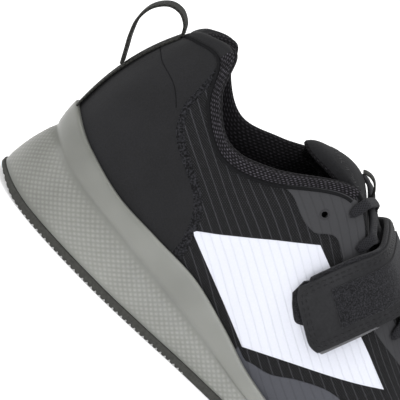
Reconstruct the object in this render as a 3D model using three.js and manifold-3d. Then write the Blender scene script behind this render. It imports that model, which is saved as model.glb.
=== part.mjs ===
// A right-foot weightlifting shoe: wedge sole, hollow woven upper, padded collar, tongue, laces and instep strap.
// Millimetres, +Z up, +Y towards the toe, +X towards the outer side of the foot.
import * as THREE from "three";
import { mergeVertices } from "three/addons/utils/BufferGeometryUtils.js";
import Module from "manifold-3d";

const wasm = await Module();
wasm.setup();

// Driving sizes
const soleLength = 292;
const ballWidth = 102;
const collarHeight = 111; // floor to the highest point of the collar, beside the heel
const heelStack = 33; // floor to the top of the insole under the heel
const forefootStack = 11; // floor to the top of the insole under the ball
const toeSpring = 9;
const originFromHeel = 75; // the origin lies this far in front of the back of the sole

// Walls, layers and gaps
const clearance = 0.3;
const softClearance = 0.5; // between pieces that bend both ways
const outsoleThickness = 4;
const outsoleEdge = 0.4; // how far the outsole stands out past the midsole
const outsoleRound = 1.2; // rounding of its lower edge
const lipThickness = 1.6;
const featherTuck = 1.5; // the upper's lower edge turns in this far under the foot
const aboveFeather = 0.8; // films and tape stop this far above the sole's lip
const upperWall = 2.2;
const insoleThickness = 4;
const filmThickness = 0.6;
const padThickness = 1.2;

// Tread
const grooveWidth = 1.4;
const grooveDepth = 1.2;
// The grooves come in from both edges and leave a flat pad along the middle.
const treadZones = [
  { from: 0.016, to: 0.24, pitch: 5, padWidth: 30 },
  { from: 0.56, to: 0.975, pitch: 8, padWidth: 44 },
];

// Collar cuff
const cuffRise = 5.2; // how far the roll stands above the upper's edge
const cuffDepth = 6.4; // thickness of the padding at the roll
const cuffHangsDown = 26; // how far the padding reaches down inside

// Tongue, laces, strap, pull loop
const tongueThickness = 6;
const laceWidth = 5;
const laceThickness = 1.6;
const laceRows = 6;
const strapWidth = 33.5;
const strapThickness = 3;
const strapTipGap = 3.2; // from the upper to the strap's two ends, over films and pad
const strapTopGap = 7.8; // and over the lace
const laceLift = 3.6; // from the upper to the lace, over the eyestay
const tapeWidth = 12;
const tapeThickness = 1.1;
const loopThickness = 1.3;
const loopHeight = 34.5; // from the loop's lower end to its top
const eyeletRadius = 1.9;

// Stations round the shoe, from the back of the heel along the outer side to the toe and back along the inner side.
// sole: the sole's edge on the floor, across as a share of half the ball width and along as a share of the length.
// open: the upper's edge at the collar and throat, the same, with its height as a share of the collar height.
// swell: how far the wall bulges outwards, in mm. shoulder: where, as a share of the wall's height.
const stations = [
  { at: "heel back", sole: [0, 0], open: [0, 0.072, 0.93], swell: 4, shoulder: 0.58 },
  { at: "heel corner, outer", sole: [0.33, 0.027], open: [0.255, 0.086, 0.973], swell: 4, shoulder: 0.58 },
  { at: "heel side, outer", sole: [0.54, 0.079], open: [0.45, 0.127, 1], swell: 4.5, shoulder: 0.58 },
  { at: "rear ankle, outer", sole: [0.67, 0.147], open: [0.56, 0.16, 0.847], swell: 5, shoulder: 0.6 },
  { at: "ankle, outer", sole: [0.75, 0.233], open: [0.617, 0.222, 0.742], swell: 5, shoulder: 0.62 },
  { at: "front ankle, outer", sole: [0.755, 0.315], open: [0.598, 0.293, 0.786], swell: 4.5, shoulder: 0.62 },
  { at: "throat top, outer", sole: [0.735, 0.404], open: [0.431, 0.407, 0.964], swell: 4, shoulder: 0.6 },
  { at: "instep, outer", sole: [0.765, 0.514], open: [0.47, 0.493, 0.82], swell: 4, shoulder: 0.55 },
  { at: "ball, outer", sole: [0.88, 0.637], open: [0.392, 0.579, 0.72], swell: 5, shoulder: 0.5 },
  { at: "forefoot, outer", sole: [0.92, 0.767], open: [0.235, 0.65, 0.667], swell: 5, shoulder: 0.6 },
  { at: "toe side, outer", sole: [0.7, 0.9], open: [0.06, 0.682, 0.649], swell: 5, shoulder: 0.69 },
  { at: "toe tip", sole: [-0.1, 1], open: [-0.08, 0.692, 0.644], swell: 5, shoulder: 0.69 },
  { at: "toe side, inner", sole: [-0.75, 0.93], open: [-0.215, 0.682, 0.649], swell: 5, shoulder: 0.69 },
  { at: "forefoot, inner", sole: [-0.99, 0.808], open: [-0.37, 0.65, 0.667], swell: 5, shoulder: 0.6 },
  { at: "ball, inner", sole: [-0.98, 0.678], open: [-0.49, 0.579, 0.725], swell: 5, shoulder: 0.5 },
  { at: "instep, inner", sole: [-0.785, 0.534], open: [-0.53, 0.493, 0.829], swell: 2, shoulder: 0.58 },
  { at: "throat top, inner", sole: [-0.63, 0.411], open: [-0.45, 0.4, 0.955], swell: 2.5, shoulder: 0.6 },
  { at: "front ankle, inner", sole: [-0.615, 0.315], open: [-0.57, 0.293, 0.8], swell: 4, shoulder: 0.62 },
  { at: "ankle, inner", sole: [-0.665, 0.226], open: [-0.58, 0.222, 0.75], swell: 5, shoulder: 0.62 },
  { at: "rear ankle, inner", sole: [-0.645, 0.144], open: [-0.54, 0.162, 0.838], swell: 5, shoulder: 0.6 },
  { at: "heel side, inner", sole: [-0.53, 0.079], open: [-0.44, 0.127, 0.965], swell: 4.5, shoulder: 0.58 },
  { at: "heel corner, inner", sole: [-0.33, 0.027], open: [-0.255, 0.087, 0.955], swell: 4, shoulder: 0.58 },
];

// Side profile along the length. lip and crease: heights of the sole's side, as shares of the heel stack.
// bed: how much of the drop from heel stack to forefoot stack is left. spring: share of the toe spring, also used for
// the small bevel at the back of the heel.
// creaseIn and lipIn: how far crease and lip lie inside the sole's edge, in mm.
const profile = [
  { along: 0, lip: 1.4, crease: 0.97, bed: 1.0, spring: 0.18, creaseIn: 6, lipIn: 4.8 },
  { along: 0.07, lip: 1.25, crease: 0.865, bed: 1, spring: 0, creaseIn: 5.6, lipIn: 4.8 },
  { along: 0.155, lip: 1.1, crease: 0.795, bed: 0.98, spring: 0, creaseIn: 5, lipIn: 4.6 },
  { along: 0.24, lip: 1.075, crease: 0.72, bed: 0.9, spring: 0, creaseIn: 4.5, lipIn: 4.4 },
  { along: 0.325, lip: 1.03, crease: 0.625, bed: 0.69, spring: 0, creaseIn: 4, lipIn: 4 },
  { along: 0.405, lip: 0.82, crease: 0.5, bed: 0.46, spring: 0, creaseIn: 3.2, lipIn: 3.3 },
  { along: 0.48, lip: 0.595, crease: 0.37, bed: 0.25, spring: 0, creaseIn: 2.5, lipIn: 2.6 },
  { along: 0.565, lip: 0.475, crease: 0.295, bed: 0.09, spring: 0, creaseIn: 2, lipIn: 2.2 },
  { along: 0.685, lip: 0.455, crease: 0.28, bed: 0, spring: 0, creaseIn: 1.8, lipIn: 2 },
  { along: 0.8, lip: 0.45, crease: 0.275, bed: 0, spring: 0.1, creaseIn: 2, lipIn: 2.2 },
  { along: 0.91, lip: 0.45, crease: 0.275, bed: 0, spring: 0.5, creaseIn: 2.4, lipIn: 2.8 },
  { along: 1, lip: 0.46, crease: 0.28, bed: 0, spring: 1, creaseIn: 2.8, lipIn: 3.4 },
];

// The sole's side between floor and crease: height share, and how much of the crease's inset is reached.
const wedgeSide = [
  { up: 0, inward: 0.05 },
  { up: 0.22, inward: -0.05 },
  { up: 0.5, inward: 0.02 },
  { up: 0.76, inward: 0.34 },
  { up: 1, inward: 1 },
];

const stationCount = stations.length;
const toeStation = 11;
const columnStep = 0.5; // in stations; every piece of the upper is meshed on these columns
const roundSteps = stationCount / columnStep;
const fullness = 0.7;
const throatTop = 6;

// Cubic through four values, for a share between the middle two.
function cubic(a, b, c, d, share) {
  const slopeB = (c - a) / 2;
  const slopeC = (d - b) / 2;
  const s2 = share * share;
  const s3 = s2 * share;
  return b * (2 * s3 - 3 * s2 + 1) + slopeB * (s3 - 2 * s2 + share) + c * (3 * s2 - 2 * s3) + slopeC * (s3 - s2);
}

// A station column at any place round the shoe; the place counts stations and wraps round.
function around(read, place) {
  const wrapped = ((place % stationCount) + stationCount) % stationCount;
  const k = Math.floor(wrapped);
  const value = (i) => read(stations[(k + i + stationCount) % stationCount]);
  return cubic(value(-1), value(0), value(1), value(2), wrapped - k);
}

// A profile column at a length y from the back of the sole.
function alongProfile(column, y) {
  const share = THREE.MathUtils.clamp(y / soleLength, 0, 1);
  let k = 0;
  while (k < profile.length - 2 && profile[k + 1].along < share) k += 1;
  const row = (i) => profile[THREE.MathUtils.clamp(k + i, 0, profile.length - 1)];
  const width = row(1).along - row(0).along;
  const slope = (i) => {
    const span = row(i + 1).along - row(i - 1).along;
    return ((row(i + 1)[column] - row(i - 1)[column]) / span) * width;
  };
  const t = (share - row(0).along) / width;
  const t2 = t * t;
  const t3 = t2 * t;
  return (
    row(0)[column] * (2 * t3 - 3 * t2 + 1) +
    slope(0) * (t3 - 2 * t2 + t) +
    row(1)[column] * (3 * t2 - 2 * t3) +
    slope(1) * (t3 - t2)
  );
}

const springAt = (y) => toeSpring * Math.max(0, alongProfile("spring", y));
const lipHeight = (y) => heelStack * alongProfile("lip", y) + springAt(y);
const creaseHeight = (y) => heelStack * alongProfile("crease", y) + springAt(y);
const bedHeight = (y) =>
  forefootStack - insoleThickness + (heelStack - forefootStack) * alongProfile("bed", y) + springAt(y);

// The sole's edge on the floor.
function solePoint(place) {
  return new THREE.Vector3(
    around((row) => row.sole[0], place) * (ballWidth / 2),
    around((row) => row.sole[1], place) * soleLength,
    0,
  );
}

// The level direction that points away from the sole's edge.
function outwards(place) {
  const step = 0.05;
  const run = solePoint(place + step).sub(solePoint(place - step));
  return new THREE.Vector3(run.y, -run.x, 0).normalize();
}

// A point of the sole's side, a distance inside its edge and at a height.
function soleSide(place, inward, height) {
  return solePoint(place).addScaledVector(outwards(place), -inward).setZ(height);
}

// The upper's edge at the collar and throat.
function openingPoint(place) {
  return new THREE.Vector3(
    around((row) => row.open[0], place) * (ballWidth / 2),
    around((row) => row.open[1], place) * soleLength,
    around((row) => row.open[2], place) * collarHeight,
  );
}

// The outer face of the upper: place round the shoe, up from 0 at the lower edge to 1 at the opening.
function upperFace(place, up) {
  const edgeY = solePoint(place).y;
  const inward = alongProfile("lipIn", edgeY) + lipThickness + clearance + featherTuck;
  const foot = soleSide(place, inward, bedHeight(edgeY) + clearance);
  const open = openingPoint(place);
  const swell = around((row) => row.swell, place);
  const shoulderShare = around((row) => row.shoulder, place);
  const shoulder = foot.clone().addScaledVector(outwards(place), swell);
  shoulder.z += (open.z - foot.z) * shoulderShare;
  const low = foot.clone().lerp(shoulder, fullness);
  const high = open.clone().lerp(shoulder, fullness);
  return new THREE.CubicBezierCurve3(foot, low, high, open).getPoint(up);
}

// The upper's face moved out by a distance along its normal; a negative distance goes inside.
function upperOffset(place, up, distance) {
  const dp = 0.08;
  const du = 0.02;
  const low = Math.max(up - du, 0);
  const high = Math.min(up + du, 1);
  const run = upperFace(place + dp, up).sub(upperFace(place - dp, up));
  const rise = upperFace(place, high).sub(upperFace(place, low));
  const normal = run.cross(rise).normalize();
  return upperFace(place, up).addScaledVector(normal, distance);
}

// The same at a stated height instead of a share.
function upperAtHeight(place, height, distance) {
  let low = 0;
  let high = 1;
  for (let i = 0; i < 24; i += 1) {
    const middle = (low + high) / 2;
    if (upperOffset(place, middle, distance).z < height) low = middle;
    else high = middle;
  }
  return upperOffset(place, low, distance);
}

// Meshes from rows of points

class Skin {
  constructor() {
    this.points = [];
    this.faces = [];
  }

  row(points) {
    const first = this.points.length;
    this.points.push(...points);
    return points.map((_, i) => first + i);
  }

  quad(a, b, c, d) {
    this.faces.push([a, b, c], [a, c, d]);
  }

  // A band between two rows of the same length. A closed band joins its last point to its first.
  band(low, high, closed = true) {
    const count = closed ? low.length : low.length - 1;
    for (let i = 0; i < count; i += 1) {
      const j = (i + 1) % low.length;
      this.quad(low[i], low[j], high[j], high[i]);
    }
  }

  // Closes a ring that is symmetric in its order, rung by rung between its two sides.
  rungs(ring, facingUp) {
    const count = ring.length;
    for (let i = 0; i < count / 2; i += 1) {
      const a = ring[i];
      const b = ring[i + 1];
      const c = ring[(count - i - 1) % count];
      const d = ring[(count - i) % count];
      const corners = [a, b, c, d].filter((v, n, all) => all.indexOf(v) === n);
      if (!facingUp) corners.reverse();
      for (let n = 1; n < corners.length - 1; n += 1) this.faces.push([corners[0], corners[n], corners[n + 1]]);
    }
  }

  // Closes an open row of points as a fan.
  fan(row, flip) {
    for (let n = 1; n < row.length - 1; n += 1) {
      this.faces.push(flip ? [row[0], row[n + 1], row[n]] : [row[0], row[n], row[n + 1]]);
    }
  }

  geometry() {
    const geometry = new THREE.BufferGeometry();
    geometry.setAttribute("position", new THREE.Float32BufferAttribute(this.points.flatMap((p) => p.toArray()), 3));
    geometry.setIndex(this.faces.flat());
    return geometry;
  }
}

// The columns from one place to another, with both ends.
function columnsBetween(from, to) {
  const low = Math.min(from, to);
  const high = Math.max(from, to);
  const inside = [];
  for (let k = Math.ceil(low / columnStep); k * columnStep < high; k += 1) {
    if (k * columnStep - low > 0.05 && high - k * columnStep > 0.05) inside.push(k * columnStep);
  }
  return from < to ? [from, ...inside, to] : [from, ...inside.reverse(), to];
}

const places = Array.from({ length: roundSteps }, (_, i) => (i * stationCount) / roundSteps);
const ringOf = (pointAt) => places.map(pointAt);

// A tube of closed sections, with a fan at each end.
function sectionTube(sections) {
  const skin = new Skin();
  const rows = sections.map((section) => skin.row(section));
  for (let i = 0; i < rows.length - 1; i += 1) skin.band(rows[i], rows[i + 1]);
  skin.fan(rows[0], true);
  skin.fan(rows[rows.length - 1], false);
  return skin.geometry();
}

function solidOf(geometry) {
  const bare = geometry.clone();
  for (const name of Object.keys(bare.attributes)) if (name !== "position") bare.deleteAttribute(name);
  const merged = mergeVertices(bare, 1e-4);
  return new wasm.Manifold(
    new wasm.Mesh({
      numProp: 3,
      vertProperties: new Float32Array(merged.attributes.position.array),
      triVerts: new Uint32Array(merged.index.array),
    }),
  );
}

function geometryOf(solid) {
  const mesh = solid.getMesh();
  const geometry = new THREE.BufferGeometry();
  geometry.setAttribute("position", new THREE.Float32BufferAttribute(Array.from(mesh.vertProperties), 3));
  geometry.setIndex(Array.from(mesh.triVerts));
  return geometry;
}

// The largest piece of a solid that a cut has divided.
function largest(solid) {
  return solid.decompose().sort((a, b) => b.volume() - a.volume())[0];
}

// A geometry grown by a distance along its averaged normals.
function grown(geometry, distance) {
  const bare = new THREE.BufferGeometry();
  bare.setAttribute("position", geometry.getAttribute("position").clone());
  bare.setIndex(geometry.index.clone());
  const merged = mergeVertices(bare, 1e-4);
  merged.computeVertexNormals();
  const position = merged.attributes.position;
  const normal = merged.attributes.normal;
  for (let i = 0; i < position.count; i += 1) {
    position.setXYZ(
      i,
      position.getX(i) + distance * normal.getX(i),
      position.getY(i) + distance * normal.getY(i),
      position.getZ(i) + distance * normal.getZ(i),
    );
  }
  merged.deleteAttribute("normal");
  return merged;
}

// Sole

function outsole() {
  const skin = new Skin();
  const low = (place) => springAt(solePoint(place).y);
  const top = skin.row(ringOf((p) => soleSide(p, -outsoleEdge, low(p) + outsoleThickness)));
  const side = skin.row(ringOf((p) => soleSide(p, -outsoleEdge, low(p) + outsoleRound)));
  const bottom = skin.row(ringOf((p) => soleSide(p, outsoleRound, low(p))));
  skin.band(bottom, side);
  skin.band(side, top);
  skin.rungs(top, true);
  skin.rungs(bottom, false);
  let solid = solidOf(skin.geometry());
  for (const zone of treadZones) {
    for (let y = zone.from * soleLength; y < zone.to * soleLength; y += zone.pitch) {
      for (const side of [1, -1]) {
        const groove = new THREE.BoxGeometry(ballWidth, grooveWidth, grooveDepth * 2);
        groove.translate((side * (ballWidth + zone.padWidth)) / 2, y, springAt(y));
        solid = solid.subtract(solidOf(groove));
      }
    }
  }
  return geometryOf(solid);
}

function midsole() {
  const skin = new Skin();
  const edgeY = (place) => solePoint(place).y;
  const base = (place) => springAt(edgeY(place)) + outsoleThickness + softClearance;
  const rows = wedgeSide.map((step) =>
    skin.row(
      ringOf((p) => {
        const height = THREE.MathUtils.lerp(base(p), creaseHeight(edgeY(p)), step.up);
        return soleSide(p, step.inward * alongProfile("creaseIn", edgeY(p)), height);
      }),
    ),
  );
  const bandPoint = (place, up, extra) => {
    const y = edgeY(place);
    const inward = THREE.MathUtils.lerp(alongProfile("creaseIn", y), alongProfile("lipIn", y), up);
    return soleSide(place, inward + extra, THREE.MathUtils.lerp(creaseHeight(y), lipHeight(y), up));
  };
  rows.push(skin.row(ringOf((p) => bandPoint(p, 0.45, 0))));
  rows.push(skin.row(ringOf((p) => bandPoint(p, 0.93, 0))));
  rows.push(skin.row(ringOf((p) => bandPoint(p, 1, lipThickness * 0.35))));
  rows.push(skin.row(ringOf((p) => upperAtHeight(p, lipHeight(edgeY(p)), clearance))));
  const inner = (share) => (place) => {
    const y = edgeY(place);
    return upperAtHeight(place, THREE.MathUtils.lerp(bedHeight(y) + clearance, lipHeight(y), share), clearance);
  };
  rows.push(skin.row(ringOf(inner(0.5))));
  rows.push(skin.row(ringOf((p) => inner(0)(p).setZ(bedHeight(edgeY(p))))));
  for (let i = 0; i < rows.length - 1; i += 1) skin.band(rows[i], rows[i + 1]);
  skin.rungs(rows[rows.length - 1], true);
  skin.rungs(rows[0], false);
  return skin.geometry();
}

function insole() {
  const skin = new Skin();
  const inside = -(upperWall + softClearance);
  const ring = (lift) =>
    skin.row(
      ringOf((p) => {
        const height = bedHeight(solePoint(p).y) + lift;
        return upperAtHeight(p, height + clearance, inside).setZ(height);
      }),
    );
  const low = ring(clearance);
  const high = ring(insoleThickness);
  skin.band(low, high);
  skin.rungs(high, true);
  skin.rungs(low, false);
  return skin.geometry();
}

// Upper

const upperRows = 9;
const eyestayTop = 0.985; // the eyestay's edge, as a share of the wall's height

// Where each eyelet is punched: place round the shoe, and up the wall.
const eyelets = [];
for (const side of [1, -1]) {
  for (let row = 0; row < laceRows; row += 1) {
    const place = THREE.MathUtils.lerp(throatTop + 0.16, toeStation - 2.4, row / (laceRows - 1));
    eyelets.push({ side, row, place: side > 0 ? place : stationCount - place, up: 0.93 });
  }
  eyelets.push({ side, row: -1, place: side > 0 ? throatTop - 0.13 : stationCount - throatTop + 0.13, up: 0.82 });
}

function punched(geometry) {
  let solid = solidOf(geometry);
  for (const eyelet of eyelets) {
    const outside = upperOffset(eyelet.place, eyelet.up, 4);
    const inside = upperOffset(eyelet.place, eyelet.up, -6);
    const drill = new THREE.CylinderGeometry(eyeletRadius, eyeletRadius, outside.distanceTo(inside), 6);
    const turn = new THREE.Quaternion().setFromUnitVectors(
      new THREE.Vector3(0, 1, 0),
      outside.clone().sub(inside).normalize(),
    );
    drill.applyQuaternion(turn);
    drill.translate(...outside.add(inside).multiplyScalar(0.5).toArray());
    solid = solid.subtract(solidOf(drill));
  }
  return geometryOf(solid);
}

function upper() {
  const skin = new Skin();
  const shares = Array.from({ length: upperRows }, (_, i) => i / (upperRows - 1));
  const outer = shares.map((up) => skin.row(ringOf((p) => upperOffset(p, up, 0))));
  const inner = shares.map((up) => skin.row(ringOf((p) => upperOffset(p, up, -upperWall))));
  for (let i = 0; i < upperRows - 1; i += 1) {
    skin.band(outer[i], outer[i + 1]);
    skin.band(inner[i + 1], inner[i]);
  }
  skin.band(inner[0], outer[0]);
  skin.band(outer[upperRows - 1], inner[upperRows - 1]);
  return punched(skin.geometry());
}

// A film or pad on the upper's face between two heights up the wall, over a stretch of places.
function patch({ from, to, low, high, rows, gap, thickness }) {
  const sections = [];
  for (const place of columnsBetween(from, to)) {
    const section = [];
    for (let r = 0; r <= rows; r += 1) {
      section.push(upperOffset(place, THREE.MathUtils.lerp(low(place), high(place), r / rows), gap));
    }
    for (let r = rows; r >= 0; r -= 1) {
      section.push(upperOffset(place, THREE.MathUtils.lerp(low(place), high(place), r / rows), gap + thickness));
    }
    sections.push(section);
  }
  return sectionTube(to < from ? sections.reverse() : sections);
}

// Share up the wall at which its face reaches a height.
function shareAt(place, height) {
  let low = 0;
  let high = 1;
  for (let i = 0; i < 20; i += 1) {
    const middle = (low + high) / 2;
    if (upperFace(place, middle).z < height) low = middle;
    else high = middle;
  }
  return low;
}

// The same for a height above the sole's lip.
const aboveLip = (place, height) => shareAt(place, lipHeight(solePoint(place).y) + height);

const bump = (x, from, to) => {
  const t = THREE.MathUtils.clamp((x - from) / (to - from), 0, 1);
  return Math.sin(Math.PI * t);
};

// The value of a table at a place between its rows.
function tableAt(table, place) {
  let k = 0;
  while (k < table.length - 2 && table[k + 1].place < place) k += 1;
  const t = THREE.MathUtils.clamp((place - table[k].place) / (table[k + 1].place - table[k].place), 0, 1);
  return THREE.MathUtils.lerp(table[k].up, table[k + 1].up, t);
}

// How deep the eyestay is, as a share of the wall's height.
const eyestayDepth = [
  { place: 5.25, up: 0.03 },
  { place: 5.5, up: 0.15 },
  { place: 5.75, up: 0.255 },
  { place: 6, up: 0.275 },
  { place: 6.15, up: 0.225 },
  { place: 6.4, up: 0.19 },
  { place: 6.75, up: 0.18 },
  { place: 7.25, up: 0.16 },
  { place: 8, up: 0.13 },
  { place: 9, up: 0.11 },
  { place: 9.5, up: 0.04 },
];

function eyestay(side) {
  const start = eyestayDepth[0].place;
  const end = eyestayDepth[eyestayDepth.length - 1].place;
  const turned = (place) => (side > 0 ? place : stationCount - place);
  return patch({
    from: turned(start),
    to: turned(end),
    low: (place) => eyestayTop - tableAt(eyestayDepth, turned(place)),
    high: () => eyestayTop,
    rows: 2,
    gap: softClearance,
    thickness: filmThickness,
  });
}

// The smooth panel round the heel. Its top edge meets the collar and slopes down to the lip in front.
const counterEdge = [
  { place: 0, up: 0.97 },
  { place: 2.05, up: 0.965 },
  { place: 2.38, up: 0.88 },
  { place: 2.52, up: 0.76 },
  { place: 2.81, up: 0.675 },
  { place: 3.17, up: 0.627 },
  { place: 3.53, up: 0.612 },
  { place: 3.87, up: 0.58 },
  { place: 4.16, up: 0.495 },
  { place: 4.34, up: 0.36 },
  { place: 4.45, up: 0.22 },
];

function counter() {
  const end = counterEdge[counterEdge.length - 1].place;
  return patch({
    from: -end,
    to: end,
    low: (place) => aboveLip(place, aboveFeather),
    high: (place) => tableAt(counterEdge, Math.abs(place)),
    rows: 4,
    gap: softClearance,
    thickness: filmThickness,
  });
}

// The pale panel on either side: one broad quadrilateral that leans forwards under the strap.
// Its corners, seen from the side: along from the back of the heel as a share of the sole's length, and up from the
// floor as a share of the collar's height.
const panelCorners = {
  rearFoot: [0.268, 0.44],
  rearTop: [0.42, 0.74],
  frontTop: [0.64, 0.506],
  frontFoot: [0.445, 0.235],
};

// The place round the shoe where the upper's face, at a height, lies at a length from the heel.
function placeAt(side, along, height) {
  let low = 3;
  let high = 10;
  for (let i = 0; i < 22; i += 1) {
    const middle = (low + high) / 2;
    const place = side > 0 ? middle : stationCount - middle;
    if (upperFace(place, shareAt(place, height)).y < along) low = middle;
    else high = middle;
  }
  return side > 0 ? low : stationCount - low;
}

function sidePanel(side) {
  const steps = 5;
  const { rearFoot, rearTop, frontTop, frontFoot } = panelCorners;
  const point = (across, up, distance) => {
    const share = (n) => {
      const foot = THREE.MathUtils.lerp(rearFoot[n], frontFoot[n], across);
      return THREE.MathUtils.lerp(foot, THREE.MathUtils.lerp(rearTop[n], frontTop[n], across), up);
    };
    const along = share(0) * soleLength;
    const height = Math.max(share(1) * collarHeight, lipHeight(along) + aboveFeather);
    const place = placeAt(side, along, height);
    return upperOffset(place, shareAt(place, height), distance);
  };
  const sections = [];
  for (let i = 0; i <= steps; i += 1) {
    const section = [];
    for (let r = 0; r <= steps; r += 1) section.push(point(i / steps, r / steps, softClearance));
    for (let r = steps; r >= 0; r -= 1) section.push(point(i / steps, r / steps, softClearance + filmThickness));
    sections.push(section);
  }
  return sectionTube(side > 0 ? sections : sections.reverse());
}

// The upper edge of the film along the toe: it climbs from the lip at the waist and falls off towards the front.
const toeFilmEdge = [
  { place: 6.6, up: 0.1 },
  { place: 6.9, up: 0.16 },
  { place: 7.2, up: 0.277 },
  { place: 7.55, up: 0.395 },
  { place: 7.8, up: 0.44 },
  { place: 8.1, up: 0.44 },
  { place: 8.6, up: 0.4 },
  { place: 9.5, up: 0.36 },
  { place: 11, up: 0.34 },
];

// The film along the toe, from the waist round the front.
function toeFilm() {
  const from = toeFilmEdge[0].place;
  const to = stationCount - from;
  const turned = (place) => Math.min(place, stationCount - place);
  return patch({
    from,
    to,
    low: (place) => aboveLip(place, aboveFeather),
    high: (place) => Math.max(tableAt(toeFilmEdge, turned(place)), aboveLip(place, 2)),
    rows: 3,
    gap: softClearance,
    thickness: filmThickness,
  });
}

const tapeTop = 0.93;

// Half the tape's width, counted in places round the shoe.
function tapeHalf() {
  const perPlace = upperFace(0.1, 0.6).distanceTo(upperFace(-0.1, 0.6)) / 0.2;
  return tapeWidth / 2 / perPlace;
}

// The tape that covers the seam up the back of the heel.
function heelTape() {
  const half = tapeHalf();
  const sections = [];
  const steps = 10;
  const gap = softClearance + filmThickness + clearance;
  for (let i = 0; i <= steps; i += 1) {
    const up = THREE.MathUtils.lerp(aboveLip(0, aboveFeather), tapeTop, i / steps);
    const across = [-half, 0, half];
    sections.push([
      ...across.map((p) => upperOffset(p, up, gap + tapeThickness)),
      ...across.reverse().map((p) => upperOffset(p, up, gap)),
    ]);
  }
  return sectionTube(sections);
}

// The padded roll along the collar and the padding that hangs inside it.
function collarCuff() {
  const from = -throatTop;
  const to = throatTop;
  const sections = [];
  for (const place of columnsBetween(from, to)) {
    const atThroat = THREE.MathUtils.smoothstep(Math.abs(place), throatTop - 1.2, throatTop);
    const size = 1 - 0.3 * atThroat;
    const open = upperOffset(place, 1, 0);
    const below = upperOffset(place, 0.93, 0);
    const up = open.clone().sub(below).normalize();
    const out = upperOffset(place, 1, 1).sub(open);
    const wallHeight = upperFace(place, 1).distanceTo(upperFace(place, 0));
    const hang = THREE.MathUtils.lerp(cuffHangsDown, 3, atThroat) / wallHeight;
    const free = (rise, outward) =>
      open.clone().addScaledVector(up, rise * size).addScaledVector(out, outward * size);
    const inside = upperWall + softClearance;
    const pad = THREE.MathUtils.lerp(cuffDepth, inside + 1.4, atThroat);
    sections.push([
      open.clone().addScaledVector(up, softClearance).addScaledVector(out, -0.3),
      free(cuffRise * 0.45, 0.9),
      free(cuffRise * 0.85, 0.1),
      free(cuffRise, -2.2),
      free(cuffRise * 0.8, -4.8),
      upperOffset(place, 1 - hang * 0.06, -pad),
      upperOffset(place, 1 - hang * 0.5, -THREE.MathUtils.lerp(inside + 3.2, inside + 1.2, atThroat)),
      upperOffset(place, 1 - hang, -(inside + 1)),
      upperOffset(place, 1 - hang, -inside),
      upperOffset(place, 1 - hang * 0.5, -inside),
      upperOffset(place, 1, -inside).addScaledVector(up, softClearance),
    ].reverse());
  }
  return sectionTube(sections);
}

// The lid: the surface that tongue and laces raise between the two sides of the throat.
// place: on the outer side, from the ankle forwards; crown: how far its middle stands above its edges, as a share
// of the collar's height.
const lid = [
  { place: 4.6, crown: 0.238 },
  { place: 5.2, crown: 0.159 },
  { place: 5.6, crown: 0.108 },
  { place: 6, crown: 0.054 },
  { place: 6.5, crown: 0.0135 },
  { place: 7, crown: 0.018 },
  { place: 7.5, crown: 0.027 },
  { place: 8, crown: 0.0315 },
  { place: 8.6, crown: 0.0315 },
  { place: 9.2, crown: 0.0315 },
  { place: 10, crown: 0.0108 },
  { place: 11, crown: 0 },
];

function crownAt(place) {
  let k = 0;
  while (k < lid.length - 2 && lid[k + 1].place < place) k += 1;
  const t = THREE.MathUtils.clamp((place - lid[k].place) / (lid[k + 1].place - lid[k].place), 0, 1);
  const before = lid[Math.max(k - 1, 0)].crown;
  const after = lid[Math.min(k + 2, lid.length - 1)].crown;
  return collarHeight * cubic(before, lid[k].crown, lid[k + 1].crown, after, t);
}

// A point of the lid: across goes from 0 at the outer edge to 1 at the inner edge.
function lidPoint(place, across, lift) {
  const outer = upperOffset(place, 1, 0);
  const inner = upperOffset(stationCount - place, 1, 0);
  const point = outer.clone().lerp(inner, across);
  const arch = Math.sin(Math.PI * across) ** 0.9;
  const slope = 0.42; // the lid leans forwards with the instep
  point.z += crownAt(place) * arch + lift;
  point.y += slope * lift;
  return point;
}

const tongueTop = throatTop - 0.8;
const tongueFoot = toeStation - 1.8;
const tongueBelowLid = 0.6;

function tongue() {
  const sections = [];
  const columns = columnsBetween(tongueTop, tongueFoot);
  const across = [0.06, 0.2, 0.35, 0.5, 0.65, 0.8, 0.94];
  for (const place of columns) {
    const t = (place - tongueTop) / (tongueFoot - tongueTop);
    const thick = tongueThickness * THREE.MathUtils.lerp(1, 0.5, t);
    const lateral = [0.66, 0.8, 0.92].map((up) => THREE.MathUtils.lerp(up, 0.9 + 0.1 * (up - 0.66), t ** 2));
    const tuck = upperWall + softClearance + THREE.MathUtils.lerp(2.8, 0.8, THREE.MathUtils.clamp(t * 2.5, 0, 1));
    const face = (depth) => [
      ...lateral.map((up) => upperOffset(place, up, -(tuck + depth))),
      ...across.map((a) => lidPoint(place, a, -(tongueBelowLid + depth))),
      ...lateral.map((up) => upperOffset(stationCount - place, up, -(tuck + depth))).reverse(),
    ];
    sections.push([...face(0), ...face(thick).reverse()]);
  }
  return sectionTube(sections.reverse());
}

// The last with its lid, as one closed form grown by a distance: what the strap and the laces lie on.
function wrappedForm() {
  const skin = new Skin();
  const shares = [0, 0.12, 0.25, 0.38, 0.5, 0.62, 0.75, 0.88, 1];
  const rows = shares.map((up) => skin.row(ringOf((p) => upperOffset(p, up, 0))));
  for (let i = 0; i < rows.length - 1; i += 1) skin.band(rows[i], rows[i + 1]);
  const rim = rows[rows.length - 1];
  const count = rim.length;
  let before = null;
  for (let i = 1; i < count / 2; i += 1) {
    const place = places[i];
    const middle = [0.15, 0.3, 0.5, 0.7, 0.85].map((a) =>
      place >= 4.6 ? lidPoint(place, a, 0) : upperOffset(place, 1, 0).lerp(upperOffset(stationCount - place, 1, 0), a),
    );
    const rung = [rim[i], ...skin.row(middle), rim[count - i]];
    if (before) skin.band(before, rung, false);
    else skin.fan([rim[0], ...rung], false);
    before = rung;
  }
  skin.fan([rim[count / 2], ...before.reverse()], false);
  return skin.geometry();
}

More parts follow.
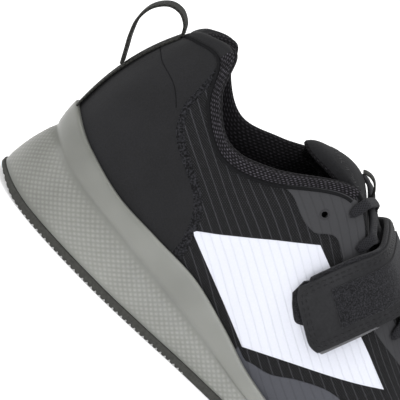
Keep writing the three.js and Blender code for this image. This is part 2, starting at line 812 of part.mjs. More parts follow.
const form = new THREE.Mesh(wrappedForm(), new THREE.MeshBasicMaterial({ side: THREE.DoubleSide }));
form.updateMatrixWorld(true);

// Where a ray from inside the form leaves its surface. Below the upper's lower edge there is no such point.
function surfaceHit(origin, direction) {
  const hits = new THREE.Raycaster(origin, direction.clone().normalize(), 0, 300).intersectObject(form);
  return hits.length ? hits[hits.length - 1].point : null;
}

// Strap: it fans round an axis inside the instep. across runs along the foot, turn from the outer side over the top.
const strapAxis = new THREE.Vector3(-1, 0.483 * soleLength, 0.503 * collarHeight);
const strapLean = THREE.MathUtils.degToRad(31.4);
const strapUp = new THREE.Vector3(0, Math.sin(strapLean), Math.cos(strapLean));
const strapRun = new THREE.Vector3(0, Math.cos(strapLean), -Math.sin(strapLean));
const strapTipLow = -3; // degrees below level at the tip's front corner
const strapTipHigh = -3.4; // and at its rear corner
const strapAboveLip = 2; // its anchored end stops this far above the sole's lip on the inner side
const strapSickle = 7; // mm that the middle of the strap lies behind its ends

function strapPoint(across, turn) {
  const angle = THREE.MathUtils.degToRad(turn);
  const bow = -strapSickle * Math.sin(THREE.MathUtils.clamp(angle, 0, Math.PI));
  const origin = strapAxis.clone().addScaledVector(strapRun, across + bow);
  const direction = new THREE.Vector3(Math.cos(angle), 0, 0).addScaledVector(strapUp, Math.sin(angle));
  return surfaceHit(origin, direction);
}

// Where the strap's line at this place across it meets the lip on the inner side, in degrees.
function strapEnd(across) {
  let low = 180;
  let high = 265;
  for (let i = 0; i < 16; i += 1) {
    const middle = (low + high) / 2;
    const point = strapPoint(across, middle);
    if (point && point.z > lipHeight(point.y) + strapAboveLip + 1) low = middle;
    else high = middle;
  }
  return low;
}

function strap() {
  const acrossSteps = 5;
  const turnSteps = 34;
  const ends = Array.from({ length: acrossSteps + 1 }, (_, j) => strapEnd((j / acrossSteps - 0.5) * strapWidth));
  let grid = [];
  for (let i = 0; i <= turnSteps; i += 1) {
    const t = i / turnSteps;
    const row = [];
    for (let j = 0; j <= acrossSteps; j += 1) {
      const a = j / acrossSteps;
      const corner = Math.max(0, Math.abs(2 * a - 1) - 0.6) / 0.4; // rounds the tip's corners
      const start = THREE.MathUtils.lerp(strapTipHigh, strapTipLow, a) + 7 * corner ** 2;
      row.push(strapPoint((a - 0.5) * strapWidth, THREE.MathUtils.lerp(start, ends[j], t)));
    }
    grid.push(row);
  }
  const at = (m, n) => grid[THREE.MathUtils.clamp(m, 0, turnSteps)][THREE.MathUtils.clamp(n, 0, acrossSteps)];
  for (let pass = 0; pass < 1; pass += 1) {
    grid = grid.map((row, i) =>
      row.map((p, j) => {
        if (i === 0 || i === turnSteps) return p;
        const along = at(i - 1, j).clone().add(at(i + 1, j)).multiplyScalar(0.5);
        return p.clone().lerp(along, 0.5);
      }),
    );
  }
  const normal = (i, j) => {
    const run = at(i, j + 1).clone().sub(at(i, j - 1));
    const rise = at(i + 1, j).clone().sub(at(i - 1, j));
    return run.cross(rise).normalize();
  };
  const sections = grid.map((row, i) => {
    const overLace = Math.sin(Math.PI * THREE.MathUtils.clamp(i / turnSteps / 0.92, 0, 1)) ** 0.35;
    const gap = THREE.MathUtils.lerp(strapTipGap, strapTopGap, overLace);
    const inner = row.map((p, j) => p.clone().addScaledVector(normal(i, j), gap));
    const outer = row.map((p, j) => p.clone().addScaledVector(normal(i, j), gap + strapThickness));
    return [...outer, ...inner.reverse()];
  });
  return sectionTube(sections);
}

// The pad of loop fabric under the strap's tip: its lower and upper edges, as shares up the wall.
const padFoot = [
  { place: 6.34, up: 0.44 },
  { place: 6.7, up: 0.4 },
  { place: 7.2, up: 0.66 },
];
const padHead = [
  { place: 6.34, up: 0.54 },
  { place: 6.8, up: 0.79 },
  { place: 7.2, up: 0.75 },
];

function strapPad() {
  return patch({
    from: padFoot[0].place,
    to: padFoot[padFoot.length - 1].place,
    low: (place) => tableAt(padFoot, place),
    high: (place) => tableAt(padHead, place),
    rows: 2,
    gap: softClearance + filmThickness + clearance,
    thickness: padThickness,
  });
}

// The lace: a straight bar over the lowest eyelets and crossings up to the top ones, joined where they cross.
function laceBand(from, to) {
  const start = upperOffset(from.place, from.up, 0);
  const end = upperOffset(to.place, to.up, 0);
  const core = start.clone().lerp(end, 0.5).addScaledVector(strapUp, -30);
  const steps = 8;
  const points = [];
  for (let i = 0; i <= steps; i += 1) {
    const direction = start.clone().lerp(end, i / steps).sub(core).normalize();
    points.push(surfaceHit(core, direction));
  }
  const across = end.clone().sub(start);
  const lifted = points.map((p, i) => {
    const run = points[Math.min(i + 1, steps)].clone().sub(points[Math.max(i - 1, 0)]);
    const side = across.clone().cross(p.clone().sub(core)).normalize();
    return p.clone().addScaledVector(side.cross(run).normalize(), laceLift);
  });
  const curve = new THREE.CatmullRomCurve3(lifted);
  const sections = [];
  for (let i = 0; i <= steps; i += 1) {
    const point = curve.getPoint(i / steps);
    const tangent = curve.getTangent(i / steps);
    const up = point.clone().sub(core);
    up.addScaledVector(tangent, -up.dot(tangent)).normalize();
    const wide = tangent.clone().cross(up).normalize();
    const corner = (w, h) =>
      point.clone().addScaledVector(wide, (w * laceWidth) / 2).addScaledVector(up, h * laceThickness);
    sections.push([corner(-1, 1), corner(1, 1), corner(1, 0), corner(-1, 0)]);
  }
  return solidOf(sectionTube(sections));
}

function lace() {
  const eyelet = (side, row) => eyelets.find((e) => e.side === side && e.row === row);
  const last = laceRows - 1;
  let solid = laceBand(eyelet(1, last), eyelet(-1, last));
  for (let row = 0; row < last; row += 1) {
    solid = solid.add(laceBand(eyelet(1, row), eyelet(-1, row + 1)));
    solid = solid.add(laceBand(eyelet(1, row + 1), eyelet(-1, row)));
  }
  return geometryOf(solid);
}

// The ribbon loop at the back of the heel. loopReach: back and up from its lower end, as shares of its height.
const loopFoot = 0.55;
const loopHead = 0.965;
const loopReach = [
  [0.08, 0.16],
  [0.173, 0.347],
  [0.24, 0.56],
  [0.213, 0.787],
  [0.08, 0.96],
  [-0.093, 1],
  [-0.24, 0.92],
];

function pullLoop() {
  const onTape = softClearance + filmThickness + tapeThickness + 2 * clearance + loopThickness / 2;
  const onFace = softClearance + filmThickness + clearance + loopThickness / 2;
  const foot = upperOffset(0, loopFoot, onTape);
  const head = upperOffset(0, loopHead, onFace);
  const reach = loopReach.map(([back, up]) => new THREE.Vector3(0, foot.y - back * loopHeight, foot.z + up * loopHeight));
  const curve = new THREE.CatmullRomCurve3([foot, ...reach, head]);
  const steps = 20;
  const sections = [];
  for (let i = 0; i <= steps; i += 1) {
    const point = curve.getPoint(i / steps);
    const tangent = curve.getTangent(i / steps);
    const across = new THREE.Vector3(1, 0, 0);
    const out = tangent.clone().cross(across).normalize();
    const corner = (w, h) =>
      point.clone().addScaledVector(across, (w * tapeWidth) / 2).addScaledVector(out, (h * loopThickness) / 2);
    sections.push([corner(-1, -1), corner(1, -1), corner(1, 1), corner(-1, 1)]);
  }
  return sectionTube(sections);
}

// Materials

const material = (color, roughness) => new THREE.MeshStandardMaterial({ color, roughness, metalness: 0 });
const rubber = material("#3d3f3d", 0.7);
const clearGrey = material("#9c9d98", 0.35);
const woven = material("#232325", 0.85);
const knit = material("#2b292c", 0.9);
const film = material("#434345", 0.5);
const greyFilm = material("#5c5d61", 0.55);
const loopPile = material("#141416", 0.95);
const synthetic = material("#39393a", 0.55);
const pale = material("#e4e5ea", 0.6);
const ribbon = material("#2b2b28", 0.7);

// Assembly

const shoe = new THREE.Group();
shoe.position.y = -originFromHeel;

function add(name, geometry, finish) {
  const mesh = new THREE.Mesh(geometry, finish);
  mesh.name = name;
  shoe.add(mesh);
  return geometry;
}

const cuffGeometry = collarCuff();
const upperGeometry = upper();

// The tongue as modelled, cut clear of what it slides under.
function fittedTongue() {
  const room = solidOf(grown(cuffGeometry, clearance)).add(solidOf(grown(upperGeometry, clearance)));
  return geometryOf(largest(solidOf(tongue()).subtract(room)));
}

const laceGeometry = lace();

// The strap as modelled, cut clear of the lace that it presses on.
function fittedStrap() {
  return geometryOf(largest(solidOf(strap()).subtract(solidOf(grown(laceGeometry, clearance)))));
}

add("outsole", outsole(), rubber);
add("midsole", midsole(), clearGrey);
add("insole", insole(), knit);
add("upper", upperGeometry, woven);
add("collar_cuff", cuffGeometry, knit);
add("tongue", fittedTongue(), knit);
add("eyestay_outer", punched(eyestay(1)), film);
add("eyestay_inner", punched(eyestay(-1)), film);
add("toe_film", toeFilm(), greyFilm);
add("counter", counter(), woven);
add("side_panel_outer", sidePanel(1), pale);
add("side_panel_inner", sidePanel(-1), pale);
add("heel_tape", heelTape(), ribbon);
add("pull_loop", pullLoop(), ribbon);
add("strap", fittedStrap(), synthetic);
add("strap_pad", strapPad(), loopPile);
add("lace", laceGeometry, ribbon);

export default shoe;
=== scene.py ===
"""A right-foot weightlifting shoe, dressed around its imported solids.

Lengths are millimetres in the shoe's own frame: +X outer side, +Y toe, +Z up, Y from the back of the heel.
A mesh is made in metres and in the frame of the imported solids.
"""

import logging
import math
from dataclasses import dataclass
from enum import Enum
from typing import Iterable, Sequence

import bmesh
import bpy
import numpy as np
from mathutils import Matrix, Vector
from mathutils.bvhtree import BVHTree

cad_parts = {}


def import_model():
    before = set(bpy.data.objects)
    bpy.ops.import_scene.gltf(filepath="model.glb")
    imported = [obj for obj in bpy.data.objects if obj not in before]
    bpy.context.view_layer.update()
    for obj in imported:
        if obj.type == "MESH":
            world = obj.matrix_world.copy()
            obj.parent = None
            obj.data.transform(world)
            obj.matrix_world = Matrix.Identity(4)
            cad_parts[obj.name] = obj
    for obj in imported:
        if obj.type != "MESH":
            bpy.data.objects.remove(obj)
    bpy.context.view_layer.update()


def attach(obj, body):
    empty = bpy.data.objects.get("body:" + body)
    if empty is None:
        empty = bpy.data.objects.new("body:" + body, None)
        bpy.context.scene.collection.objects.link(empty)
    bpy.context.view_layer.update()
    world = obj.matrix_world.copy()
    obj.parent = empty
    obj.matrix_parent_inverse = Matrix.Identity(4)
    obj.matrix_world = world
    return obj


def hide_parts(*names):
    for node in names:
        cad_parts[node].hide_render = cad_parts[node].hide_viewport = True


LOG = logging.getLogger("shoe")
Array = np.ndarray
Piece = bpy.types.Object
Look = bpy.types.Material
Socket = bpy.types.NodeSocket


def table(text: str) -> Array:
    """Rows of numbers, with a comma between rows."""
    return np.array([row.split() for row in text.split(",")], float)


@dataclass(frozen=True)
class Sizes:
    """The named sizes that every piece takes its shape from, in millimetres."""

    sole_length: float = 292.0
    ball_width: float = 102.0
    collar_height: float = 111.0
    heel_stack: float = 33.0
    forefoot_stack: float = 11.0
    toe_spring: float = 9.0
    origin_from_heel: float = 75.0
    clearance: float = 0.3
    outsole_thickness: float = 4.0
    outsole_edge: float = 0.4
    lip_thickness: float = 1.6
    feather_tuck: float = 1.5
    upper_wall: float = 2.2
    insole_thickness: float = 4.0
    tongue_thickness: float = 6.0
    strap_width: float = 33.5
    tape_width: float = 12.0
    tape_thickness: float = 0.9
    loop_thickness: float = 1.3
    eyelet_radius: float = 1.5


SIZES = Sizes()

# One row per station round the shoe: sole edge (across, along), opening (across, along, up), swell in mm and
# shoulder.
STATIONS = np.array(
    [
        [0.0, 0.0, 0.0, 0.072, 0.93, 4.0, 0.58],
        [0.33, 0.027, 0.255, 0.086, 0.973, 4.0, 0.58],
        [0.54, 0.079, 0.45, 0.127, 1.0, 4.5, 0.58],
        [0.67, 0.147, 0.56, 0.16, 0.847, 5.0, 0.6],
        [0.75, 0.233, 0.617, 0.222, 0.742, 5.0, 0.62],
        [0.755, 0.315, 0.598, 0.293, 0.786, 4.5, 0.62],
        [0.735, 0.404, 0.431, 0.407, 0.964, 4.0, 0.6],
        [0.765, 0.514, 0.47, 0.493, 0.82, 4.0, 0.55],
        [0.88, 0.637, 0.392, 0.579, 0.72, 5.0, 0.5],
        [0.92, 0.767, 0.235, 0.65, 0.667, 5.0, 0.6],
        [0.7, 0.9, 0.06, 0.682, 0.649, 5.0, 0.69],
        [-0.1, 1.0, -0.08, 0.692, 0.644, 5.0, 0.69],
        [-0.75, 0.93, -0.215, 0.682, 0.649, 5.0, 0.69],
        [-0.99, 0.808, -0.37, 0.65, 0.667, 5.0, 0.6],
        [-0.98, 0.678, -0.49, 0.579, 0.725, 5.0, 0.5],
        [-0.785, 0.534, -0.53, 0.493, 0.829, 2.0, 0.58],
        [-0.63, 0.411, -0.45, 0.4, 0.955, 2.5, 0.6],
        [-0.615, 0.315, -0.57, 0.293, 0.8, 4.0, 0.62],
        [-0.665, 0.226, -0.58, 0.222, 0.75, 5.0, 0.62],
        [-0.645, 0.144, -0.54, 0.162, 0.838, 5.0, 0.6],
        [-0.53, 0.079, -0.44, 0.127, 0.965, 4.5, 0.58],
        [-0.33, 0.027, -0.255, 0.087, 0.955, 4.0, 0.58],
    ]
)
SOLE, OPENING, SWELL, SHOULDER = slice(0, 2), slice(2, 5), 5, 6

# One row per section along the sole: along, lip, crease, bed, spring, crease inset in mm, lip inset in mm.
PROFILE = np.array(
    [
        [0.0, 1.4, 0.97, 1.0, 0.18, 6.0, 4.8],
        [0.07, 1.25, 0.865, 1.0, 0.0, 5.6, 4.8],
        [0.155, 1.1, 0.795, 0.98, 0.0, 5.0, 4.6],
        [0.24, 1.075, 0.72, 0.9, 0.0, 4.5, 4.4],
        [0.325, 1.03, 0.625, 0.69, 0.0, 4.0, 4.0],
        [0.405, 0.82, 0.5, 0.46, 0.0, 3.2, 3.3],
        [0.48, 0.595, 0.37, 0.25, 0.0, 2.5, 2.6],
        [0.565, 0.475, 0.295, 0.09, 0.0, 2.0, 2.2],
        [0.685, 0.455, 0.28, 0.0, 0.0, 1.8, 2.0],
        [0.8, 0.45, 0.275, 0.0, 0.1, 2.0, 2.2],
        [0.91, 0.45, 0.275, 0.0, 0.5, 2.4, 2.8],
        [1.0, 0.46, 0.28, 0.0, 1.0, 2.8, 3.4],
    ]
)
LIP, CREASE, BED, SPRING, CREASE_IN, LIP_IN = 1, 2, 3, 4, 5, 6

# The surface that tongue and lace raise over the throat: place, and its middle's height above its edges.
LID = np.array(
    [
        [4.6, 26.4],
        [5.2, 17.6],
        [5.6, 12.0],
        [6.0, 6.0],
        [6.5, 1.5],
        [7.0, 2.0],
        [7.5, 3.0],
        [8.0, 3.5],
        [8.6, 3.5],
        [9.2, 3.5],
        [10.0, 1.2],
        [11.0, 0.0],
    ]
)

COUNT = len(STATIONS)
THROAT_TOP = 6.0
TOE = 11.0
FULLNESS = 0.7
COLUMNS_PER_STATION = 12

# The level direction to the shoe's outer side.
OUTER = np.array([1.0, 0.0, 0.0])
# How far apart the cloth maps of a ribbon's two faces lie, in mm.
MAP_GAP = 20.0


def hermite(b: Array, c: Array, slope_b: Array, slope_c: Array, t: Array) -> Array:
    """Cubic from b to c with the given slopes.

    Args:
        b, c: values at t = 0 and t = 1.
        slope_b, slope_c: slopes there, per unit of t.
        t: share between them.

    Returns:
        The value at t.
    """
    t2, t3 = t * t, t * t * t
    ends = b * (2 * t3 - 3 * t2 + 1) + c * (3 * t2 - 2 * t3)
    return ends + slope_b * (t3 - 2 * t2 + t) + slope_c * (t3 - t2)


def through(a: Array, b: Array, c: Array, d: Array, t: Array) -> Array:
    """The smooth curve from b to c that comes from a and goes on to d."""
    return hermite(b, c, (c - a) / 2, (d - b) / 2, t)


def around(columns: Array, place: Array) -> Array:
    """Reads station columns at any place round the shoe.

    Args:
        columns: rows of station values.
        place: places, counted in stations; they wrap round.

    Returns:
        One row of values for each place.
    """
    wrapped = np.mod(place, COUNT)
    k = np.floor(wrapped).astype(int)
    t = (wrapped - k)[..., None]
    return through(*(columns[(k + i) % COUNT] for i in (-1, 0, 1, 2)), t)


def smooth_table(table: Array, x: Array, column: int = 1) -> Array:
    """Cubic through the rows of a table.

    Args:
        table: rows whose first value rises.
        x: where to read it.
        column: which value to read.

    Returns:
        The values at x, held at the table's ends.
    """
    knots, values = table[:, 0], table[:, column]
    x = np.clip(x, knots[0], knots[-1])
    k = np.clip(np.searchsorted(knots, x, side="left") - 1, 0, len(knots) - 2)
    last = len(knots) - 1
    before, after = np.maximum(k - 1, 0), np.minimum(k + 2, last)
    width = knots[k + 1] - knots[k]
    slope_low = (values[k + 1] - values[before]) / (knots[k + 1] - knots[before]) * width
    slope_high = (values[after] - values[k]) / (knots[after] - knots[k]) * width
    return hermite(values[k], values[k + 1], slope_low, slope_high, (x - knots[k]) / width)


def unit(v: Array) -> Array:
    """Vectors scaled to length one."""
    return v / np.maximum(np.linalg.norm(v, axis=-1, keepdims=True), 1e-9)


def mix(a: Array, b: Array, t: Array) -> Array:
    """The value between a and b at share t."""
    return a + (b - a) * t


def smoothstep(x: Array, low: float, high: float) -> Array:
    """Rises softly from 0 at low to 1 at high."""
    t = np.clip((np.asarray(x, float) - low) / (high - low), 0, 1)
    return t * t * (3 - 2 * t)


def on(side: int, place: Array) -> Array:
    """The place on the outer (1) or inner (-1) side that mirrors an outer place."""
    return place if side > 0 else COUNT - place


class Form:
    """The shape of foot and sole that all pieces are worked out from."""

    def __init__(self, sizes: Sizes) -> None:
        """Keeps the sizes."""
        self.s = sizes

    def section(self, column: int, y: Array) -> Array:
        """A profile column at lengths y from the back of the sole."""
        return smooth_table(PROFILE, np.asarray(y, float) / self.s.sole_length, column)

    def spring(self, y: Array) -> Array:
        """How far the toe has risen off the floor."""
        return self.s.toe_spring * np.maximum(0, self.section(SPRING, y))

    def lip(self, y: Array) -> Array:
        """Height of the midsole's upper rim."""
        return self.s.heel_stack * self.section(LIP, y) + self.spring(y)

    def crease(self, y: Array) -> Array:
        """Height of the line between the wedge and the smooth band above it."""
        return self.s.heel_stack * self.section(CREASE, y) + self.spring(y)

    def bed(self, y: Array) -> Array:
        """Height of the midsole's top inside the shoe."""
        s = self.s
        drop = (s.heel_stack - s.forefoot_stack) * self.section(BED, y)
        return s.forefoot_stack - s.insole_thickness + drop + self.spring(y)

    def sole_edge(self, place: Array) -> Array:
        """The sole's edge on the floor."""
        flat = around(STATIONS[:, SOLE], place)
        xy = flat * np.array([self.s.ball_width / 2, self.s.sole_length])
        return np.concatenate([xy, np.zeros(xy.shape[:-1] + (1,))], axis=-1)

    def outwards(self, place: Array) -> Array:
        """The level direction away from the sole's edge."""
        run = self.sole_edge(place + 0.05) - self.sole_edge(place - 0.05)
        return unit(np.stack([run[..., 1], -run[..., 0], np.zeros(run.shape[:-1])], axis=-1))

    def sole_side(self, place: Array, inward: Array, height: Array) -> Array:
        """A point of the sole's side, a distance inside its edge and at a height."""
        point = self.sole_edge(place) - self.outwards(place) * np.asarray(inward)[..., None]
        point[..., 2] = height
        return point

    def opening(self, place: Array) -> Array:
        """The upper's edge at collar and throat."""
        scale = np.array([self.s.ball_width / 2, self.s.sole_length, self.s.collar_height])
        return around(STATIONS[:, OPENING], place) * scale

    def face(self, place: Array, up: Array) -> Array:
        """The upper's outer face: up is 0 at its lower edge and 1 at the opening."""
        s = self.s
        place, up = np.broadcast_arrays(np.asarray(place, float), np.asarray(up, float))
        y = self.sole_edge(place)[..., 1]
        inward = self.section(LIP_IN, y) + s.lip_thickness + s.clearance + s.feather_tuck
        foot = self.sole_side(place, inward, self.bed(y) + s.clearance)
        edge = self.opening(place)
        shoulder = foot + self.outwards(place) * around(STATIONS[:, SWELL : SWELL + 1], place)
        share = around(STATIONS[:, SHOULDER : SHOULDER + 1], place)[..., 0]
        shoulder[..., 2] += (edge[..., 2] - foot[..., 2]) * share
        low, high = mix(foot, shoulder, FULLNESS), mix(edge, shoulder, FULLNESS)
        t = up[..., None]
        r = 1 - t
        return r**3 * foot + 3 * r * r * t * low + 3 * r * t * t * high + t**3 * edge

    def normal(self, place: Array, up: Array) -> Array:
        """The outward normal of the upper's face."""
        run = self.face(np.asarray(place) + 0.08, up) - self.face(np.asarray(place) - 0.08, up)
        rise = self.face(place, np.minimum(np.asarray(up) + 0.02, 1)) - self.face(
            place, np.maximum(np.asarray(up) - 0.02, 0)
        )
        return unit(np.cross(run, rise))

    def skin(self, place: Array, up: Array, distance: Array = 0.0) -> Array:
        """The upper's face moved out along its normal; a negative distance goes inside."""
        return self.face(place, up) + self.normal(place, up) * np.asarray(distance)[..., None]

    def up_at(self, place: Array, height: Array, distance: float = 0.0) -> Array:
        """The share up the wall at which the skin reaches a height."""
        place, height = np.broadcast_arrays(np.asarray(place, float), np.asarray(height, float))
        low, high = np.zeros(place.shape), np.ones(place.shape)
        for _ in range(18):
            middle = (low + high) / 2
            below = self.skin(place, middle, distance)[..., 2] < height
            low, high = np.where(below, middle, low), np.where(below, high, middle)
        return low

    def place_at(self, side: int, along: Array, height: Array) -> Array:
        """The place on one side where the skin, at a height, lies at a length from the heel."""
        low, high = np.full(np.shape(along), 2.5), np.full(np.shape(along), 10.4)
        for _ in range(18):
            middle = (low + high) / 2
            place = on(side, middle)
            behind = self.face(place, self.up_at(place, height))[..., 1] < along
            low, high = np.where(behind, middle, low), np.where(behind, high, middle)
        return on(side, low)

    def lid(self, place: Array, across: Array, lift: Array = 0.0) -> Array:
        """A point over the throat: across runs from 0 at the outer edge to 1 at the inner edge."""
        place, across, lift = np.broadcast_arrays(
            np.asarray(place, float), np.asarray(across, float), np.asarray(lift, float)
        )
        outer = self.skin(place, np.ones(place.shape))
        inner = self.skin(COUNT - place, np.ones(place.shape))
        point = mix(outer, inner, across[..., None])
        arch = np.sin(np.pi * np.clip(across, 0, 1)) ** 0.9
        point[..., 2] += smooth_table(LID, place) * arch + lift
        point[..., 1] += 0.42 * lift
        return point


FORM = Form(SIZES)




def metres(points: Array) -> Array:
    """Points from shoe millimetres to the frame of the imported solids, in metres."""
    return (np.asarray(points, float) - np.array([0.0, SIZES.origin_from_heel, 0.0])) / 1000.0


def srgb(code: str) -> tuple[float, float, float, float]:
    """A colour written as sRGB hex, as linear red, green, blue and alpha."""
    channels = [int(code.lstrip("#")[i : i + 2], 16) / 255 for i in (0, 2, 4)]
    linear = [c / 12.92 if c <= 0.04045 else ((c + 0.055) / 1.055) ** 2.4 for c in channels]
    return (linear[0], linear[1], linear[2], 1.0)


class Mesh:
    """A mesh that grows from rows of points, with a cloth map in millimetres."""

    def __init__(self) -> None:
        """Starts empty."""
        self.points: list[Array] = []
        self.maps: list[Array] = []
        self.marks: list[Array] = []
        self.faces: list[Array] = []
        self.size = 0

    def grid(self, points: Array, uv: Array | None = None, mark: Array | None = None) -> Array:
        """Adds points and their cloth map.

        Args:
            points: an array of shape (..., 3).
            uv: the same shape with 2 values, in millimetres.
            mark: one value for each point, for a finish that changes over the piece.

        Returns:
            The new points' numbers, in the shape of the array.
        """
        shape = points.shape[:-1]
        count = int(np.prod(shape))
        self.points.append(points.reshape(-1, 3))
        self.maps.append(np.zeros((count, 2)) if uv is None else np.asarray(uv, float).reshape(-1, 2))
        self.marks.append(np.zeros(count) if mark is None else np.asarray(mark, float).reshape(-1))
        ids = np.arange(self.size, self.size + count).reshape(shape)
        self.size += count
        return ids

    def quads(
        self, ids: Array, *, wrap_rows: bool = False, wrap_columns: bool = False, flip: bool = False
    ) -> None:
        """Joins a block of point numbers into quads.

        Args:
            ids: numbers in rows and columns.
            wrap_rows, wrap_columns: also join the last row or column to the first.
            flip: turn the faces round.
        """
        if wrap_rows:
            ids = np.concatenate([ids, ids[:1]], axis=0)
        if wrap_columns:
            ids = np.concatenate([ids, ids[:, :1]], axis=1)
        a, b, c, d = ids[:-1, :-1], ids[:-1, 1:], ids[1:, 1:], ids[1:, :-1]
        order = (a, d, c, b) if flip else (a, b, c, d)
        self.faces.append(np.stack(order, axis=-1).reshape(-1, 4))

    def fan(self, ring: Array, middle: int, flip: bool = False) -> None:
        """Closes a ring towards one middle point."""
        following = np.roll(ring, -1)
        centre = np.full(len(ring), middle)
        order = (following, ring, centre) if flip else (ring, following, centre)
        self.faces.append(np.stack(order, axis=-1))

    def object(self, name: str, smooth_angle: float = 40.0) -> Piece:
        """Makes the object, with doubles merged and shading smooth below an angle.

        Args:
            name: the piece's name.
            smooth_angle: edges sharper than this, in degrees, stay hard.

        Returns:
            The object, at the origin and linked to the scene.
        """
        data = bpy.data.meshes.new(name)
        faces = [face for block in self.faces for face in block.tolist()]
        data.from_pydata(metres(np.concatenate(self.points)).tolist(), [], faces)
        uv = np.concatenate(self.maps) / 1000.0
        layer = data.uv_layers.new(name="cloth")
        corners = np.zeros(len(data.loops), dtype=np.int32)
        data.loops.foreach_get("vertex_index", corners)
        layer.data.foreach_set("uv", uv[corners].astype(np.float32).ravel())
        mark = data.attributes.new("mark", "FLOAT", "POINT")
        mark.data.foreach_set("value", np.concatenate(self.marks).astype(np.float32))
        data.validate()
        return finish_mesh(data, name, smooth_angle)

    def solid(self, name: str, smooth_angle: float = 40.0) -> Piece:
        """Makes the object of a closed piece, with all its faces turned outwards."""
        piece = self.object(name, smooth_angle)
        face_out(piece)
        return piece


def finish_mesh(data: bpy.types.Mesh, name: str, smooth_angle: float = 40.0) -> Piece:
    """Merges doubles, smooths the shading and links a mesh as a piece."""
    work = bmesh.new()
    work.from_mesh(data)
    bmesh.ops.remove_doubles(work, verts=work.verts, dist=2e-6)
    bmesh.ops.dissolve_degenerate(work, edges=work.edges, dist=1e-7)
    limit = math.radians(smooth_angle)
    for face in work.faces:
        face.smooth = True
    for edge in work.edges:
        edge.smooth = len(edge.link_faces) != 2 or edge.calc_face_angle(0.0) < limit
    work.to_mesh(data)
    work.free()
    piece = bpy.data.objects.new(name, data)
    bpy.context.scene.collection.objects.link(piece)
    return piece


def face_out(piece: Piece) -> None:
    """Turns all faces of a closed piece outwards."""
    work = bmesh.new()
    work.from_mesh(piece.data)
    bmesh.ops.recalc_face_normals(work, faces=work.faces)
    work.to_mesh(piece.data)
    work.free()


def applied(piece: Piece) -> Piece:
    """Bakes a piece's modifiers into its mesh."""
    bpy.context.view_layer.update()
    evaluated = piece.evaluated_get(bpy.context.evaluated_depsgraph_get())
    data = bpy.data.meshes.new_from_object(evaluated)
    piece.modifiers.clear()
    piece.data = data
    return piece


def place_piece(piece: Piece, material: Look, nodes: Sequence[str] = ()) -> None:
    """Dresses a piece, rides it on the shoe's body and hides the solids that it replaces.

    Args:
        piece: the piece, finished and at the origin.
        material: its finish.
        nodes: solids that it replaces.
    """
    if not piece.data.materials:
        piece.data.materials.append(material)
    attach(piece, "root")
    if nodes:
        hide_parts(*nodes)
    LOG.info("%s: %d faces", piece.name, len(piece.data.polygons))


def skin_solid(outer: Array, inner: Array, uv: Array, mesh: Mesh | None = None) -> Mesh:
    """A closed sheet between two blocks of points of the same shape.

    Args:
        outer, inner: rows and columns of points on its two faces; rows run round the shoe and columns up it.
        uv: the cloth map of the outer face.
        mesh: a mesh to add it to.

    Returns:
        The mesh.
    """
    mesh = mesh or Mesh()
    a, b = mesh.grid(outer, uv), mesh.grid(inner, uv)
    mesh.quads(a)
    mesh.quads(b, flip=True)
    for strip, flip in (
        (np.stack([a[0], b[0]]), True),
        (np.stack([a[-1], b[-1]]), False),
        (np.stack([a[:, 0], b[:, 0]]), False),
        (np.stack([a[:, -1], b[:, -1]]), True),
    ):
        mesh.quads(strip, flip=flip)
    return mesh


def tube(sections: Array, uv: Array | None = None, closed: bool = False, mesh: Mesh | None = None) -> Mesh:
    """A tube through sections that are closed rings.

    Args:
        sections: array of sections, points in the section, 3.
        uv: its cloth map.
        closed: join the last section to the first, with no end faces.
        mesh: a mesh to add it to.

    Returns:
        The mesh.
    """
    mesh = mesh or Mesh()
    ids = mesh.grid(sections, uv)
    mesh.quads(ids, wrap_rows=closed, wrap_columns=True)
    if not closed:
        for row, flip in ((0, True), (-1, False)):
            middle = mesh.grid(sections[row].mean(axis=0)[None])
            mesh.fan(ids[row], int(middle[0]), flip)
    return mesh


def arc_lengths(points: Array, axis: int) -> Array:
    """Distances run along one axis of a block of points, starting at 0."""
    steps = np.linalg.norm(np.diff(points, axis=axis), axis=-1)
    zero = np.zeros_like(np.take(steps, [0], axis=axis))
    return np.concatenate([zero, np.cumsum(steps, axis=axis)], axis=axis)


def spline(points: Array, count: int) -> Array:
    """Evenly spaced points on a smooth curve through the given ones.

    Args:
        points: the points, in order.
        count: how many to return.

    Returns:
        An array of points.
    """
    points = np.asarray(points, float)
    padded = np.vstack([2 * points[0] - points[1], points, 2 * points[-1] - points[-2]])
    dense = []
    for k in range(1, len(padded) - 2):
        t = np.linspace(0, 1, 24, endpoint=k == len(padded) - 3)[:, None]
        dense.append(through(*padded[k - 1 : k + 3], t))
    curve = np.vstack(dense)
    run = arc_lengths(curve, 0)
    return read_line(curve, run, np.linspace(0, run[-1], count))


def read_line(points: Array, run: Array, at: Array) -> Array:
    """Points of a line at distances along it, where run holds the distance of each given point."""
    return np.stack([np.interp(at, run, column) for column in points.T], axis=-1)


def chart_of(first: Array, second: Array) -> Array:
    """A cloth map whose first measure changes from row to row, and the second from column to column."""
    return np.stack(np.broadcast_arrays(first[:, None], second[None, :]), axis=-1)


